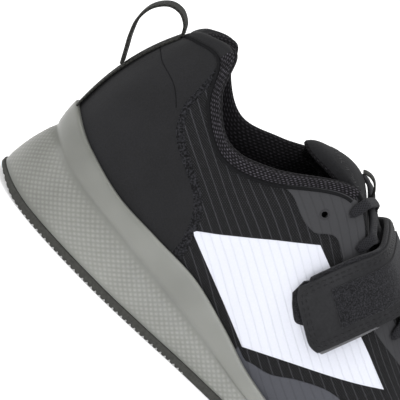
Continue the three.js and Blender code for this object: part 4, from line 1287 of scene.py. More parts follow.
@dataclass
class Upper:
    """The woven shell with its films."""

    looks: Finishes
    rows: int = 56
    film: float = 0.45
    tuck: float = 0.25
    usual_height: float = 75.0
    throat_edge: float = 0.985
    rim_wire: float = 0.3
    spare_rim_wire: float = 0.42
    panel_film: float = 0.4

    def build(self) -> None:
        """Makes the shell and everything pressed or sewn on its face."""
        self.shell()
        for side in (1, -1):
            self.eyestay(side)
            self.side_panel(side)
        self.toe_film()
        self.counter()

    def shell(self) -> None:
        """Two walls joined along both edges, and the eyelets cut through."""
        p = places(COUNT * COLUMNS_PER_STATION)[:, None]
        up = np.linspace(0, 1, self.rows)[None, :]
        mesh = Mesh()
        chart = cloth_map(p, up)
        outer = mesh.grid(wall(p, up), chart)
        inner = mesh.grid(wall(p, up, -SIZES.upper_wall), chart)
        mesh.quads(outer, wrap_rows=True)
        mesh.quads(inner, wrap_rows=True, flip=True)
        mesh.quads(np.stack([outer[:, 0], inner[:, 0]]), wrap_columns=True)
        mesh.quads(np.stack([outer[:, -1], inner[:, -1]]), wrap_columns=True, flip=True)
        piece = mesh.solid("upper_shell", 50)
        punch(piece, eyelets())
        place_piece(piece, self.looks.woven, ["upper"])

    def film_patch(
        self,
        name: str,
        place: Array,
        low: Array,
        high: Array,
        rows: int,
        gap: float = 0.0,
        thickness: float | None = None,
        length: float = 200.0,
    ) -> Piece:
        """A sheet on the wall between two heights, with rounded edges.

        Args:
            name: the piece's name.
            place: shares along the stretch are read from its first and last values.
            low, high: shares up the wall for each place.
            rows: even rows up it.
            gap: distance off the wall.
            thickness: the sheet's own thickness.
            length: the stretch in mm, for the width of its rounded ends.

        Returns:
            The piece.
        """
        thickness = self.film if thickness is None else thickness
        tall = float(np.max(high - low)) * self.usual_height
        shares, full_up = edged(rows, tall)
        ends, full_along = edged(len(place), length)
        along, floor, roof = (
            np.interp(ends, np.linspace(0, 1, len(place)), line) for line in (place, low, high)
        )
        up = mix(floor[:, None], roof[:, None], shares[None, :])
        p = np.broadcast_to(along[:, None], up.shape)
        lift = gap + thickness * full_along[:, None] * full_up[None, :]
        return skin_solid(wall(p, up, lift), wall(p, up, gap - self.tuck), cloth_map(p, up)).solid(name, 50)

    def eyestay(self, side: int) -> None:
        """The grey film along the throat, deep at the ankle and narrow at the toe."""
        depth = table(
            "5.22 0.01, 5.4 0.09, 5.55 0.175, 5.7 0.24, 5.86 0.275, 5.98 0.275, 6.1 0.235, 6.22 0.2,"
            "6.4 0.188, 6.75 0.18, 7.25 0.16, 8 0.13, 9 0.11, 9.5 0.03"
        )
        place = np.linspace(5.22, 9.5, 150)
        low = self.throat_edge - smooth_table(depth, place)
        name = "eyestay_outer" if side > 0 else "eyestay_inner"
        high = np.full(len(place), self.throat_edge)
        piece = self.film_patch(name + "_film", on(side, place), low, high, 12, length=130)
        holes = [hole for hole in eyelets() if hole.side == side]
        punch(piece, holes)
        place_piece(piece, self.looks.eyestay, [name])
        for hole in holes:
            self.rim(hole)

    def rim(self, hole: Eyelet) -> None:
        """The pressed ring round a hole."""
        around_hole = np.linspace(0, 2 * math.pi, 9)[:-1]
        wire = self.spare_rim_wire if hole.row < 0 else self.rim_wire
        radius = SIZES.eyelet_radius + wire * 0.6
        first, second = frame_at(hole.axis())
        rings = []
        for turn in np.arange(28) * 2 * math.pi / 28:
            out = math.cos(turn) * first + math.sin(turn) * second
            centre = hole.centre(self.film) + radius * out
            offset = np.cos(around_hole)[:, None] * out + np.sin(around_hole)[:, None] * hole.axis()
            rings.append(centre + wire * offset)
        piece = tube(np.stack(rings), closed=True).solid(f"eyelet_rim_{hole.side}_{hole.row}", 60)
        place_piece(piece, self.looks.eyestay)

    def side_panel(self, side: int) -> None:
        """The broad pale quadrilateral, leaning forwards under the strap."""
        corners = np.array([[0.268, 0.44], [0.42, 0.74], [0.445, 0.235], [0.64, 0.506]])
        shares, full = edged(30, 50.0, 0.6)
        a, u = np.meshgrid(shares, shares, indexing="ij")
        foot = mix(corners[0], corners[2], a[..., None])
        top = mix(corners[1], corners[3], a[..., None])
        at = mix(foot, top, u[..., None])
        along = at[..., 0] * SIZES.sole_length
        height = np.maximum(at[..., 1] * SIZES.collar_height, FORM.lip(along) + 0.3)
        p = FORM.place_at(side, along, height)
        up = FORM.up_at(p, height)
        lift = self.panel_film * full[:, None] * full[None, :]
        name = "side_panel_outer" if side > 0 else "side_panel_inner"
        panel = skin_solid(wall(p, up, lift), wall(p, up, -self.tuck), cloth_map(p, up))
        piece = panel.solid(name + "_film", 50)
        place_piece(piece, self.looks.white, [name])

    def toe_film(self) -> None:
        """The grey film along the toe, climbing from the waist and highest at the sides of the forefoot."""
        edge = table(
            "6.3 0.02, 6.6 0.1, 6.9 0.16, 7.2 0.277, 7.55 0.395, 7.8 0.44, 8.1 0.44, 8.6 0.4, 9.5 0.36,"
            "11 0.34"
        )
        place = np.linspace(6.35, COUNT - 6.35, 180)
        y = FORM.sole_edge(place)[:, 1]
        low = FORM.up_at(place, FORM.lip(y) - 1.5)
        high = np.maximum(smooth_table(edge, np.minimum(place, COUNT - place)), low + 0.03)
        piece = self.film_patch("toe_film_sheet", place, low, high, 16, length=230)
        place_piece(piece, self.looks.toe_film, ["toe_film"])

    def counter(self) -> None:
        """The smooth panel round the heel, and the band of open mesh along its front edge."""
        edge = table(
            "0 0.975, 2.05 0.97, 2.38 0.88, 2.52 0.76, 2.81 0.675, 3.17 0.627, 3.53 0.612, 3.87 0.58,"
            "4.16 0.495, 4.34 0.36, 4.45 0.22"
        )
        place = np.linspace(-4.45, 4.45, 190)
        y = FORM.sole_edge(place)[:, 1]
        low = FORM.up_at(place, FORM.lip(y) - 1.5)
        high = np.maximum(smooth_table(edge, np.abs(place)), low + 0.03)
        piece = self.film_patch("counter_panel", place, low, high, 20, length=190)
        place_piece(piece, self.looks.heel, ["counter"])
        front = table(
            "2.3 0.95, 2.44 0.84, 2.6 0.74, 2.9 0.68, 3.25 0.65, 3.6 0.635, 3.95 0.59,"
            "4.24 0.5, 4.43 0.36, 4.55 0.2, 4.6 0.1"
        )
        joint = table("0.12 0.8, 0.5 0.785, 1.1 0.73, 1.63 0.69, 2.1 0.672, 2.5 0.67")
        band, seam = spline(front, 90), spline(joint, 60)
        for side in (1, -1):
            self.border(f"mesh_band_{side}", side, band, 2.3, 0.42, self.looks.mesh_band)
            self.border(f"counter_seam_{side}", side, seam, 0.3, 0.62, self.looks.edge)

    def border(
        self, name: str, side: int, path: Array, half: float, lift: float, look: Look
    ) -> None:
        """A low rounded strip that follows a line on the wall.

        Args:
            name: the piece's name.
            side: 1 on the outer side, -1 on the inner side.
            path: places on the outer side and shares up the wall.
            half: half its width in mm.
            lift: how far it stands off the wall.
            look: its finish.
        """
        place, up = on(side, path[:, 0]), path[:, 1]
        centre, out = wall(place, up), FORM.normal(place, up)
        across = unit(np.cross(out, np.gradient(centre, axis=0))) * side
        shares = np.linspace(-1, 1, 9)
        crown = np.sqrt(1.02 - np.abs(shares) ** 3)[None, :, None] * lift
        flat = centre[:, None] + across[:, None] * (shares * half)[None, :, None]
        run = arc_lengths(centre, 0)
        chart = chart_of(run, shares * half)
        piece = skin_solid(flat + out[:, None] * crown, flat - out[:, None] * 0.3, chart).solid(name, 50)
        place_piece(piece, look)


@dataclass
class Collar:
    """The padded knit roll round the ankle, and the padding and lining that hang inside it."""

    looks: Finishes
    rise: float = 5.2
    depth: float = 6.4
    hang: float = 26.0
    steps: int = 300
    section_steps: int = 48
    binding_columns: int = 16
    plain_reach: float = 1.9

    def section(self, place: Array) -> Array:
        """Rings of the padding, one for each place.

        Args:
            place: places from the throat on the inner side to the throat on the outer side.

        Returns:
            An array of places, points in the ring, 3.
        """
        at_throat = smoothstep(np.abs(place), THROAT_TOP - 1.2, THROAT_TOP)
        size = (1 - 0.3 * at_throat)[:, None]
        ones = np.ones(len(place))
        top = wall(place, ones)
        up = unit(top - wall(place, ones * 0.93))
        out = FORM.normal(place, ones)
        tall = np.linalg.norm(top - wall(place, ones * 0), axis=-1)
        hang = mix(self.hang, 3.0, at_throat) / tall
        inside = SIZES.upper_wall + 0.1
        pad = mix(self.depth, inside + 1.4, at_throat)
        slack = 0.35 * np.sin(place * 3.1) * (1 - at_throat)

        def free(rise: float, outward: float) -> Array:
            """A point of the roll above the wall's edge."""
            return top + up * (rise * self.rise * size) + out * (outward * size)

        def hung(share: float, thick: Array) -> Array:
            """A point of the padding against the wall's inner face."""
            return wall(place, 1 - hang * share, -thick)

        rings = [
            wall(place, ones * 0.975, 0.25),
            free(0.0, 0.95),
            free(0.3, 1.35),
            free(0.62, 0.95),
            free(0.8, -0.1),
            free(0.74, -0.95),
            free(0.98, -2.1),
            free(1.0, -3.4),
            free(0.74, -5.2),
            hung(0.1, pad + 0.3),
            hung(0.35, mix(inside + 4.2 + slack, inside + 1.3, at_throat)),
            hung(0.7, mix(inside + 2.3 + slack, inside + 1.1, at_throat)),
            hung(0.97, inside + 0.8 + 0 * place),
            hung(1.0, inside + 0 * place),
            hung(0.6, inside - 0.3 + 0 * place),
            wall(place, ones * 0.985, -inside + 0.3),
        ]
        return np.stack(rings, axis=1)

    def build(self) -> None:
        """The roll in flecked knit, with rounder curves than its few guide points."""
        place = np.linspace(-THROAT_TOP - 0.02, THROAT_TOP + 0.02, self.steps)
        guides = self.section(place)
        rings = closed_curves(guides, self.section_steps)
        around_ring = arc_lengths(rings, 1)
        along = arc_lengths(guides[:, 4], 0)[:, None]
        chart = np.stack(np.broadcast_arrays(along, around_ring), axis=-1)
        piece = tube(rings, chart).solid("collar_padding", 60)
        piece.data.materials.append(self.looks.knit)
        piece.data.materials.append(self.looks.binding)
        piece.data.materials.append(self.looks.heel)
        for face in piece.data.polygons:
            row, column = divmod(face.index, self.section_steps)
            at_heel = abs(row / self.steps - 0.5) * 2 * THROAT_TOP < self.plain_reach
            outside = column < self.binding_columns
            face.material_index = (2 if at_heel else 1) if outside else 0
        place_piece(piece, self.looks.knit, ["collar_cuff"])
        self.seam(place)

    def seam(self, place: Array) -> None:
        """The smooth piping between the binding and the woven wall."""
        centre = wall(place, np.full(len(place), 0.962), 0.3)
        place_piece(cord(centre, 0.8, "collar_seam"), self.looks.edge)


def closed_curves(guides: Array, count: int) -> Array:
    """Smooth closed rings through guide points.

    Args:
        guides: rings, guide points, 3.
        count: points in each smooth ring.

    Returns:
        rings, count, 3.
    """
    number = guides.shape[1]
    at = np.arange(count) * number / count
    k = np.floor(at).astype(int)
    t = (at - k)[None, :, None]
    return through(*(guides[:, (k + i) % number] for i in (-1, 0, 1, 2)), t)


def cord(centre: Array, radius: float, name: str, sides: int = 8) -> Piece:
    """A thin round strand along points.

    Args:
        centre: the points of its middle.
        radius: its radius in mm.
        name: the piece's name.
        sides: corners of its section.

    Returns:
        The piece.
    """
    run = unit(np.gradient(centre, axis=0))
    first = unit(np.cross(run, np.array([0.0, 0.0, 1.0])))
    second = np.cross(run, first)
    turn = np.arange(sides) * 2 * math.pi / sides
    rings = centre[:, None] + radius * (
        np.cos(turn)[None, :, None] * first[:, None] + np.sin(turn)[None, :, None] * second[:, None]
    )
    return tube(rings, chart_of(arc_lengths(centre, 0), turn * radius)).solid(name, 60)


@dataclass
class Tongue:
    """The padded tongue under the laces, with zigzag stitches below its top edge; the keeper that holds the
    lace is made with the lace.
    """

    looks: Finishes
    top: float = THROAT_TOP - 0.8
    foot: float = TOE - 1.8
    below_lid: float = 0.6
    rows: int = 90
    columns: int = 60

    def faces(self, place: Array, depth: Array) -> Array:
        """Points across the tongue at a depth under its face.

        Args:
            place: one place for each row.
            depth: one depth for each row, in mm.

        Returns:
            rows, guide points, 3.
        """
        t = (place - self.top) / (self.foot - self.top)
        tuck = SIZES.upper_wall + 0.4 + mix(2.8, 0.8, np.clip(t * 2.5, 0, 1))
        rings = []
        sides = []
        for share, drop in ((0.66, 0.75), (0.8, 0.6), (0.92, 0.45)):
            up = mix(share, 0.9 + 0.1 * (share - 0.66), t**2)
            row = place + drop * (1 - t) ** 3
            rings.append(wall(row, up, -(tuck + depth)))
            sides.append(wall(COUNT - row, up, -(tuck + depth)))
        for across in (0.06, 0.2, 0.35, 0.5, 0.65, 0.8, 0.94):
            low = 1.1 if across < 0.5 else 0.25
            row = place + low * abs(2 * across - 1) ** 1.6 * (1 - t) ** 3
            rings.append(FORM.lid(row, across, -(self.below_lid + depth)))
        return np.stack(rings + sides[::-1], axis=1)

    def build(self) -> None:
        """One padded sheet with rounded edges."""
        shares, fullness = edged(self.rows, 115.0, 4.5)
        place = mix(self.top, self.foot, shares)
        thick = SIZES.tongue_thickness * mix(1.0, 0.5, shares)
        middle = thick / 2
        half = middle * np.maximum(fullness, 0.02)
        outer = dense_rows(self.faces(place, middle - half), self.columns)
        inner = dense_rows(self.faces(place, middle + half), self.columns)
        ends = np.linspace(0, 1, self.columns)
        taper = np.sqrt(1 - (1 - np.clip(np.minimum(ends, 1 - ends) * 30, 0, 1)) ** 2)[None, :, None]
        core = (outer + inner) / 2
        outer, inner = mix(core, outer, taper), mix(core, inner, taper)
        chart = np.stack([arc_lengths(outer, 1), arc_lengths(outer, 0)], axis=-1)
        piece = skin_solid(outer, inner, chart).object("tongue_padding", 60)
        piece.data.materials.append(self.looks.tongue)
        piece.data.materials.append(self.looks.knit)
        facing = (self.rows - 1) * (self.columns - 1)
        for face in piece.data.polygons:
            face.material_index = 1 if facing <= face.index < 2 * facing else 0
        face_out(piece)
        place_piece(piece, self.looks.tongue, ["tongue"])
        self.trim(outer, inner)

    def trim(self, outer: Array, inner: Array) -> None:
        """The zigzag stitches below the top edge."""
        shares = np.linspace(0.1, 0.9, 90)
        row, low = centre_line(outer[9], shares), centre_line(outer[11], shares)
        facing = unit(row - centre_line(inner[9], shares))
        path = mix(row, low, (np.arange(90) % 2)[:, None] * 1.0) + facing * 0.1
        StitchRun(self.looks.thread, "tongue_zigzag", path, facing, "knit", 3.0, 2.6, 0.5).build()


def dense_rows(guides: Array, count: int) -> Array:
    """Smooth rows through guide points, evenly filled.

    Args:
        guides: rows, guide points, 3.
        count: points in each filled row.

    Returns:
        rows, count, 3.
    """
    number = guides.shape[1]
    at = np.linspace(0, number - 1, count)
    k = np.clip(np.floor(at).astype(int), 0, number - 2)
    t = (at - k)[None, :, None]
    before, after = np.maximum(k - 1, 0), np.minimum(k + 2, number - 1)
    return through(*(guides[:, at_point] for at_point in (before, k, k + 1, after)), t)


class Wrapped:
    """The foot form with its lid, ready for rays that look for what the strap and lace lie on."""

    def __init__(self) -> None:
        """Builds the surface."""
        p = places(COUNT * 6)
        up = np.linspace(0.0, 1.0, 30)
        points = wall(p[:, None], up[None, :])
        mesh = Mesh()
        ids = mesh.grid(points)
        mesh.quads(ids, wrap_rows=True)
        half = len(p) // 2
        rungs = []
        for k in range(1, half):
            rungs.append(FORM.lid(np.full(15, p[k]), np.linspace(0, 1, 15)))
        bridge = mesh.grid(np.stack(rungs)[:, 1:-1])
        full = np.concatenate([ids[1:half, -1][:, None], bridge, ids[-1:half:-1, -1][:, None]], axis=1)
        mesh.quads(full)
        points = np.concatenate(mesh.points)
        faces = [f for block in mesh.faces for f in block.tolist()]
        self.tree = BVHTree.FromPolygons([Vector(q) for q in points], faces)

    def hit(self, origin: Array, direction: Array) -> Array | None:
        """The outermost point of the surface on a ray from inside."""
        ray = Vector(direction).normalized()
        far = Vector(origin) + ray * 300
        place, _, _, _ = self.tree.ray_cast(far, -ray, 300)
        return None if place is None else np.array(place)


@dataclass
class Strap:
    """The instep strap: grained skin, stitched edges, a pile patch, hooks and a clear backing below."""

    looks: Finishes
    wrapped: Wrapped
    lean: float = 31.4
    tip_low: float = -5.2
    tip_high: float = -5.6
    above_lip: float = 3.0
    sickle: float = 7.0
    tip_gap: float = 2.0
    top_gap: float = 6.4
    corner: float = 7.0
    rear: float = 0.05
    front: float = 0.96
    skin_from: float = 0.8
    sewn_to: float = 0.93
    stitch_lift: float = 3.05
    smoothings: int = 26
    across_steps: int = 44
    turn_steps: int = 200

    def __post_init__(self) -> None:
        """Works out the strap's axis and directions."""
        tilt = math.radians(self.lean)
        self.axis = np.array([-1.0, 0.483 * SIZES.sole_length, 0.503 * SIZES.collar_height])
        self.up = np.array([0.0, math.sin(tilt), math.cos(tilt)])
        self.run = np.array([0.0, math.cos(tilt), -math.sin(tilt)])
        self.grid = self.surface()
        self.normals = self.facing()

    def point(self, across: float, turn: float) -> Array | None:
        """A point of the form under the strap, at a turn in degrees from the outer side over the top."""
        angle = math.radians(turn)
        bow = -self.sickle * math.sin(min(max(angle, 0.0), math.pi))
        origin = self.axis + self.run * (across + bow)
        direction = np.array([math.cos(angle), 0.0, 0.0]) + self.up * math.sin(angle)
        return self.wrapped.hit(origin, direction)

    def end(self, across: float) -> float:
        """The turn at which the strap reaches the sole's lip on the inner side."""
        low, high = 180.0, 265.0
        for _ in range(14):
            middle = (low + high) / 2
            point = self.point(across, middle)
            clear = point is not None and point[2] > float(FORM.lip(point[1])) + self.above_lip
            low, high = (middle, high) if clear else (low, middle)
        return low

    def surface(self) -> Array:
        """The smoothed grid of points under the strap: rows over the foot, columns across the strap."""
        half = SIZES.strap_width / 2
        shares = np.linspace(0, 1, self.across_steps)
        rows = []
        ends = [self.end((share * 2 - 1) * half) for share in shares]
        for t in np.linspace(0, 1, self.turn_steps):
            row = []
            for share, stop in zip(shares, ends):
                rounding = max(0.0, abs(2 * share - 1) - 0.62) / 0.38
                start = mix(self.tip_high, self.tip_low, share) + self.corner * rounding**2.6
                row.append(self.point((share * 2 - 1) * half, mix(start, stop, t)))
            rows.append(row)
        grid = np.array(rows)
        for _ in range(self.smoothings):
            grid[1:-1] = grid[1:-1] * 0.4 + 0.3 * (grid[:-2] + grid[2:])
            grid[:, 1:-1] = grid[:, 1:-1] * 0.5 + 0.25 * (grid[:, :-2] + grid[:, 2:])
        return grid

    def facing(self) -> Array:
        """Outward normals of the smoothed grid."""
        normals = np.cross(np.gradient(self.grid, axis=1), np.gradient(self.grid, axis=0))
        return unit(normals)

    def gap(self) -> Array:
        """How far the strap's underside stands off the form, row by row."""
        t = np.linspace(0, 1, self.turn_steps)
        over = np.sin(math.pi * np.clip(t / 0.92, 0, 1)) ** 0.45
        return mix(self.tip_gap, self.top_gap, over)[:, None]

    def at(self, t: Array, share: Array, lift: Array) -> Array:
        """Points on the strap.

        Args:
            t: share along it, from the tip.
            share: share across it, from its rear edge.
            lift: distance over its underside.

        Returns:
            Points.
        """
        i = np.clip(np.asarray(t, float), 0, 1) * (self.turn_steps - 1)
        j = np.clip(np.asarray(share, float), 0, 1) * (self.across_steps - 1)
        base = self.grid + self.normals * self.gap()[..., None]
        point, normal = bilinear(base, i, j), unit(bilinear(self.normals, i, j))
        return point + normal * np.asarray(lift)[..., None]

    def lengths(self) -> tuple[float, float]:
        """The strap's length and width in mm."""
        long = float(arc_lengths(self.grid[:, self.across_steps // 2], 0)[-1])
        wide = float(arc_lengths(self.grid[self.turn_steps // 2], 0)[-1])
        return long, wide

    def slab(self, name: str, t: tuple, share: tuple, low: float, high: float, soft: float) -> Piece:
        """A layer of the strap with rounded edges, between two heights.

        Args:
            name: the piece's name.
            t, share: its ends along and across the strap.
            low, high: heights over the strap's underside.
            soft: how wide its edges are rounded.

        Returns:
            The piece.
        """
        long, wide = self.lengths()
        rows, full_t = edged(int((t[1] - t[0]) * 170) + 6, long * (t[1] - t[0]), soft)
        columns, full_s = edged(int((share[1] - share[0]) * 36) + 6, wide * (share[1] - share[0]), soft)
        tt, ss = np.meshgrid(mix(t[0], t[1], rows), mix(share[0], share[1], columns), indexing="ij")
        full = full_t[:, None] * full_s[None, :]
        middle, half = (low + high) / 2, (high - low) / 2
        outer = self.at(tt, ss, middle + half * full)
        inner = self.at(tt, ss, middle - half * full)
        chart = np.stack([tt * long, ss * wide], axis=-1)
        return skin_solid(outer, inner, chart).solid(name, 50)

    def build(self) -> None:
        """Makes the strap's layers and stitches."""
        long, wide = self.lengths()
        LOG.info("strap: %.0f mm long, %.1f mm wide", long, wide)
        looks, whole = self.looks, (self.rear, self.front)
        for name, start, end, share, heights, soft, look, slot, replaced in (
            ("skin", self.skin_from, long, whole, (0.75, 2.85), 0.9, looks.strap, "strap_leather", ["strap"]),
            ("hooks", 5.5, 0.5 * long, (0.0, 0.93), (-0.7, 1.5), 0.5, looks.pile, "pile", []),
            ("backing", 1.2, 28.0, (0.45, 1.0), (-0.35, 0.9), 0.5, looks.backing, "film", []),
            ("loop_patch", 17.0, 0.52 * long, (0.25, 0.775), (2.6, 3.5), 0.3, looks.pile, "pile", []),
        ):
            layer = self.slab(f"strap_{name}", (start / long, end / long), share, *heights, soft)
            place_piece(layer, look, replaced)
        self.stitches()

    def outline(self, inset: float) -> Array:
        """Places on the strap along a line that follows its edge and rounds the corners of its tip.

        Args:
            inset: the line's distance from the edge, in mm.

        Returns:
            A share along the strap and a share across it for each place.
        """
        long, wide = self.lengths()
        corner = max(1.5, 6.0 - inset)
        side, far = self.rear + inset / wide, self.front - inset / wide
        tip = (self.skin_from + inset) / long
        turns = np.linspace(0, math.pi / 2, 10)[1:-1]
        ahead = tip + corner / long * (1 - np.sin(turns))
        inwards = corner / wide * (1 - np.cos(turns))
        runs = (
            (np.linspace(self.sewn_to, tip + corner / long, 240), side),
            (ahead, side + inwards),
            (tip, np.linspace(side + corner / wide, far - corner / wide, 40)),
            (ahead[::-1], far - inwards[::-1]),
            (np.linspace(tip + corner / long, self.sewn_to, 240), far),
        )
        return np.concatenate([np.stack(np.broadcast_arrays(t, share), axis=-1) for t, share in runs])

    def stitches(self) -> None:
        """Two rows of stitches that follow the edge."""
        scale = np.array([self.turn_steps - 1, self.across_steps - 1])
        for inset in (2.0, 4.0):
            t, share = self.outline(inset).T
            run = self.at(t, share, np.full(len(t), self.stitch_lift))
            out = unit(bilinear(self.normals, t * scale[0], share * scale[1]))
            StitchRun(self.looks.thread, f"strap_stitches_{inset:.0f}", run, out, "strap_leather").build()


def bilinear(block: Array, i: Array, j: Array) -> Array:
    """Reads a block of vectors between its rows and columns."""
    i, j = np.broadcast_arrays(np.asarray(i, float), np.asarray(j, float))
    a = np.clip(np.floor(i).astype(int), 0, block.shape[0] - 2)
    b = np.clip(np.floor(j).astype(int), 0, block.shape[1] - 2)
    u, v = (i - a)[..., None], (j - b)[..., None]
    low = mix(block[a, b], block[a, b + 1], v)
    high = mix(block[a + 1, b], block[a + 1, b + 1], v)
    return mix(low, high, u)


@dataclass
class StitchRun:
    """A row of lock stitches along a path, set out by geometry nodes."""

    material: Look
    name: str
    path: Array
    out: Array
    slot: str
    pitch: float = 3.0
    length: float = 2.1
    thick: float = 0.6
    sink: float = 0.18
    reach: float = 0.4

    def thread(self) -> Piece:
        """One stitch: a short capsule that dips at both ends."""
        steps = np.linspace(-1, 1, 9)
        dip = -0.35 * np.abs(steps) ** 3
        centre = np.stack([steps * self.length / 2, 0 * steps, dip * self.thick], axis=-1)
        turn = np.arange(6) * 2 * math.pi / 6
        wide = self.thick / 2 * np.sqrt(np.clip(1.02 - np.abs(steps) ** 4, 0.05, 1))
        ring = np.stack([0 * turn, np.cos(turn), np.sin(turn)], axis=-1)
        sections = centre[:, None] + wide[:, None, None] * ring[None]
        sections = sections + np.array([0.0, SIZES.origin_from_heel, 0.0])
        return tube(sections).solid(self.name + "_thread", 80)

    def build(self) -> None:
        """Sets the stitches out along the path and bakes them."""
        run = arc_lengths(self.path, 0)
        count = max(2, int(run[-1] / self.pitch))
        at = (np.arange(count) + 0.5) * run[-1] / count
        centre = read_line(self.path, run, at)
        along = unit(read_line(self.path, run, at + self.reach) - read_line(self.path, run, at - self.reach))
        up = unit(read_line(self.out, run, at))
        side = unit(np.cross(up, along))
        up = np.cross(along, side)
        turns = [Matrix((a, b, c)).transposed().to_euler() for a, b, c in zip(along, side, up)]
        data = bpy.data.meshes.new(self.name)
        data.from_pydata(metres(centre - up * self.sink).tolist(), [], [])
        store = data.attributes.new("turn", "FLOAT_VECTOR", "POINT")
        store.data.foreach_set("vector", np.array([tuple(turn) for turn in turns], dtype=np.float32).ravel())
        holder = bpy.data.objects.new(self.name, data)
        bpy.context.scene.collection.objects.link(holder)
        thread = self.thread()
        nodes = holder.modifiers.new("stitches", "NODES")
        nodes.node_group = stitch_group(self.name, self.material)
        for item in nodes.node_group.interface.items_tree:
            if item.name == "Thread":
                nodes[item.identifier] = thread
        applied(holder)
        bpy.data.objects.remove(thread)
        for face in holder.data.polygons:
            face.use_smooth = True
        place_piece(holder, self.material)


def stitch_group(name: str, material: Look) -> bpy.types.NodeTree:
    """Nodes that put one thread on each point, turned by the point's stored angles."""
    group = bpy.data.node_groups.new(name, "GeometryNodeTree")
    group.interface.new_socket("Points", in_out="INPUT", socket_type="NodeSocketGeometry")
    group.interface.new_socket("Thread", in_out="INPUT", socket_type="NodeSocketObject")
    group.interface.new_socket("Stitches", in_out="OUTPUT", socket_type="NodeSocketGeometry")
    kinds = {
        "source": "NodeGroupInput",
        "target": "NodeGroupOutput",
        "info": "GeometryNodeObjectInfo",
        "named": "GeometryNodeInputNamedAttribute",
        "turn": "FunctionNodeEulerToRotation",
        "place": "GeometryNodeInstanceOnPoints",
        "realize": "GeometryNodeRealizeInstances",
        "paint": "GeometryNodeSetMaterial",
    }
    nodes = {key: group.nodes.new(kind) for key, kind in kinds.items()}
    nodes["named"].data_type = "FLOAT_VECTOR"
    nodes["named"].inputs["Name"].default_value = "turn"
    nodes["paint"].inputs["Material"].default_value = material
    for start, output, end, entry in (
        ("source", "Points", "place", "Points"),
        ("source", "Thread", "info", "Object"),
        ("info", "Geometry", "place", "Instance"),
        ("named", "Attribute", "turn", 0),
        ("turn", 0, "place", "Rotation"),
        ("place", "Instances", "realize", "Geometry"),
        ("realize", "Geometry", "paint", "Geometry"),
        ("paint", "Geometry", "target", "Stitches"),
    ):
        group.links.new(nodes[start].outputs[output], nodes[end].inputs[entry])
    return group


@dataclass
class Lacing:
    """The lace: crossings up the throat, a bar over the lowest eyelets, and the keeper on the tongue."""

    looks: Finishes
    wrapped: Wrapped
    width: float = 4.8
    thick: float = 2.1
    pinch: float = 3.0
    lift: float = 1.5
    crossing: float = 1.25
    hole_depths: tuple = (-5.2, -2.6, 0.2, 1.5)
    core_offset: tuple = (0.0, -6.0, -34.0)
    keeper_from: float = 5.98
    keeper_to: float = 6.4
    keeper_rise: float = 3.0
    keeper_width: float = 7.0
    samples: int = 150
    sides: int = 18

    def build(self) -> None:
        """Every visible run of the lace, and its keeper."""
        holes = {(hole.side, hole.row): hole for hole in eyelets()}
        last = max(row for _, row in holes)
        mesh = Mesh()
        self.run(holes[1, last], holes[-1, last], 0.0, mesh)
        for row in range(last):
            over = 1 if row % 2 == 0 else -1
            self.run(holes[1, row], holes[-1, row + 1], over * self.crossing, mesh)
            self.run(holes[1, row + 1], holes[-1, row], -over * self.crossing, mesh)
        piece = mesh.solid("lace_cord", 60)
        place_piece(piece, self.looks.lace, ["lace"])
        self.keeper()

    def run(self, start: Eyelet, end: Eyelet, over: float, mesh: Mesh) -> None:
        """One run of the lace from hole to hole.

        Args:
            start, end: the holes.
            over: how far its middle is raised or pressed where it crosses another run.
            mesh: the mesh to add it to.
        """
        a, b = start.centre(0.3), end.centre(0.3)
        core = (a + b) / 2 + np.array(self.core_offset)
        middle, normals = [], []
        for share in np.linspace(0.09, 0.91, 11):
            aim = mix(a, b, share) - core
            point = self.wrapped.hit(core, aim)
            bump = over * math.exp(-(((share - 0.5) / 0.14) ** 2))
            middle.append(point + unit(aim) * (self.lift + self.thick * 0.35 + bump + abs(over) * 0.35))
            normals.append(unit(aim))
        points, faces = [], []
        for hole, order in ((start, 1), (end, -1)):
            stack = [hole.centre(depth) for depth in self.hole_depths]
            points.append(stack[::order])
            inwards = unit(a - b) * order
            turned = [inwards, inwards, unit(inwards + hole.axis() * 0.7), unit(inwards * 0.4 + hole.axis())]
            faces.append(turned[::order])
        path = np.array(points[0] + middle + points[1])
        out = np.array(faces[0] + normals + faces[1])
        dense = spline(path, self.samples)
        LOG.info("lace run: %.0f mm", arc_lengths(dense, 0)[-1])
        run = arc_lengths(path, 0)
        at = np.linspace(0, run[-1], self.samples)
        facing = unit(read_line(out, run, at))
        along = unit(np.gradient(dense, axis=0))
        facing = unit(facing - along * np.sum(facing * along, axis=-1, keepdims=True))
        across = np.cross(along, facing)
        squeeze = smoothstep(np.minimum(at, run[-1] - at), 4.5, 10.0)
        wide = mix(self.pinch, self.width, squeeze) / 2
        tall = mix(self.pinch * 0.8, self.thick, squeeze) / 2
        turn = np.arange(self.sides) * 2 * math.pi / self.sides
        cosine, sine = np.cos(turn), np.sin(turn)
        square = (np.abs(cosine) ** 3 + np.abs(sine) ** 3) ** (-1 / 3)
        rings = dense[:, None] + (wide[:, None] * (cosine * square)[None])[..., None] * across[:, None]
        rings = rings + (tall[:, None] * (sine * square)[None])[..., None] * facing[:, None]
        tube(rings, chart_of(at, turn * self.width / 3), mesh=mesh)

    def keeper(self) -> None:
        """The narrow loop of tape on the tongue that the lace can be tucked under."""
        share = np.linspace(0, 1, 40)
        lift = 0.3 + self.keeper_rise * np.sin(math.pi * share) ** 0.7
        centre = FORM.lid(mix(self.keeper_from, self.keeper_to, share), 0.5, lift)
        band = ribbon(centre, self.keeper_width, SIZES.tape_thickness)
        place_piece(band.solid("lace_keeper", 50), self.looks.tape)


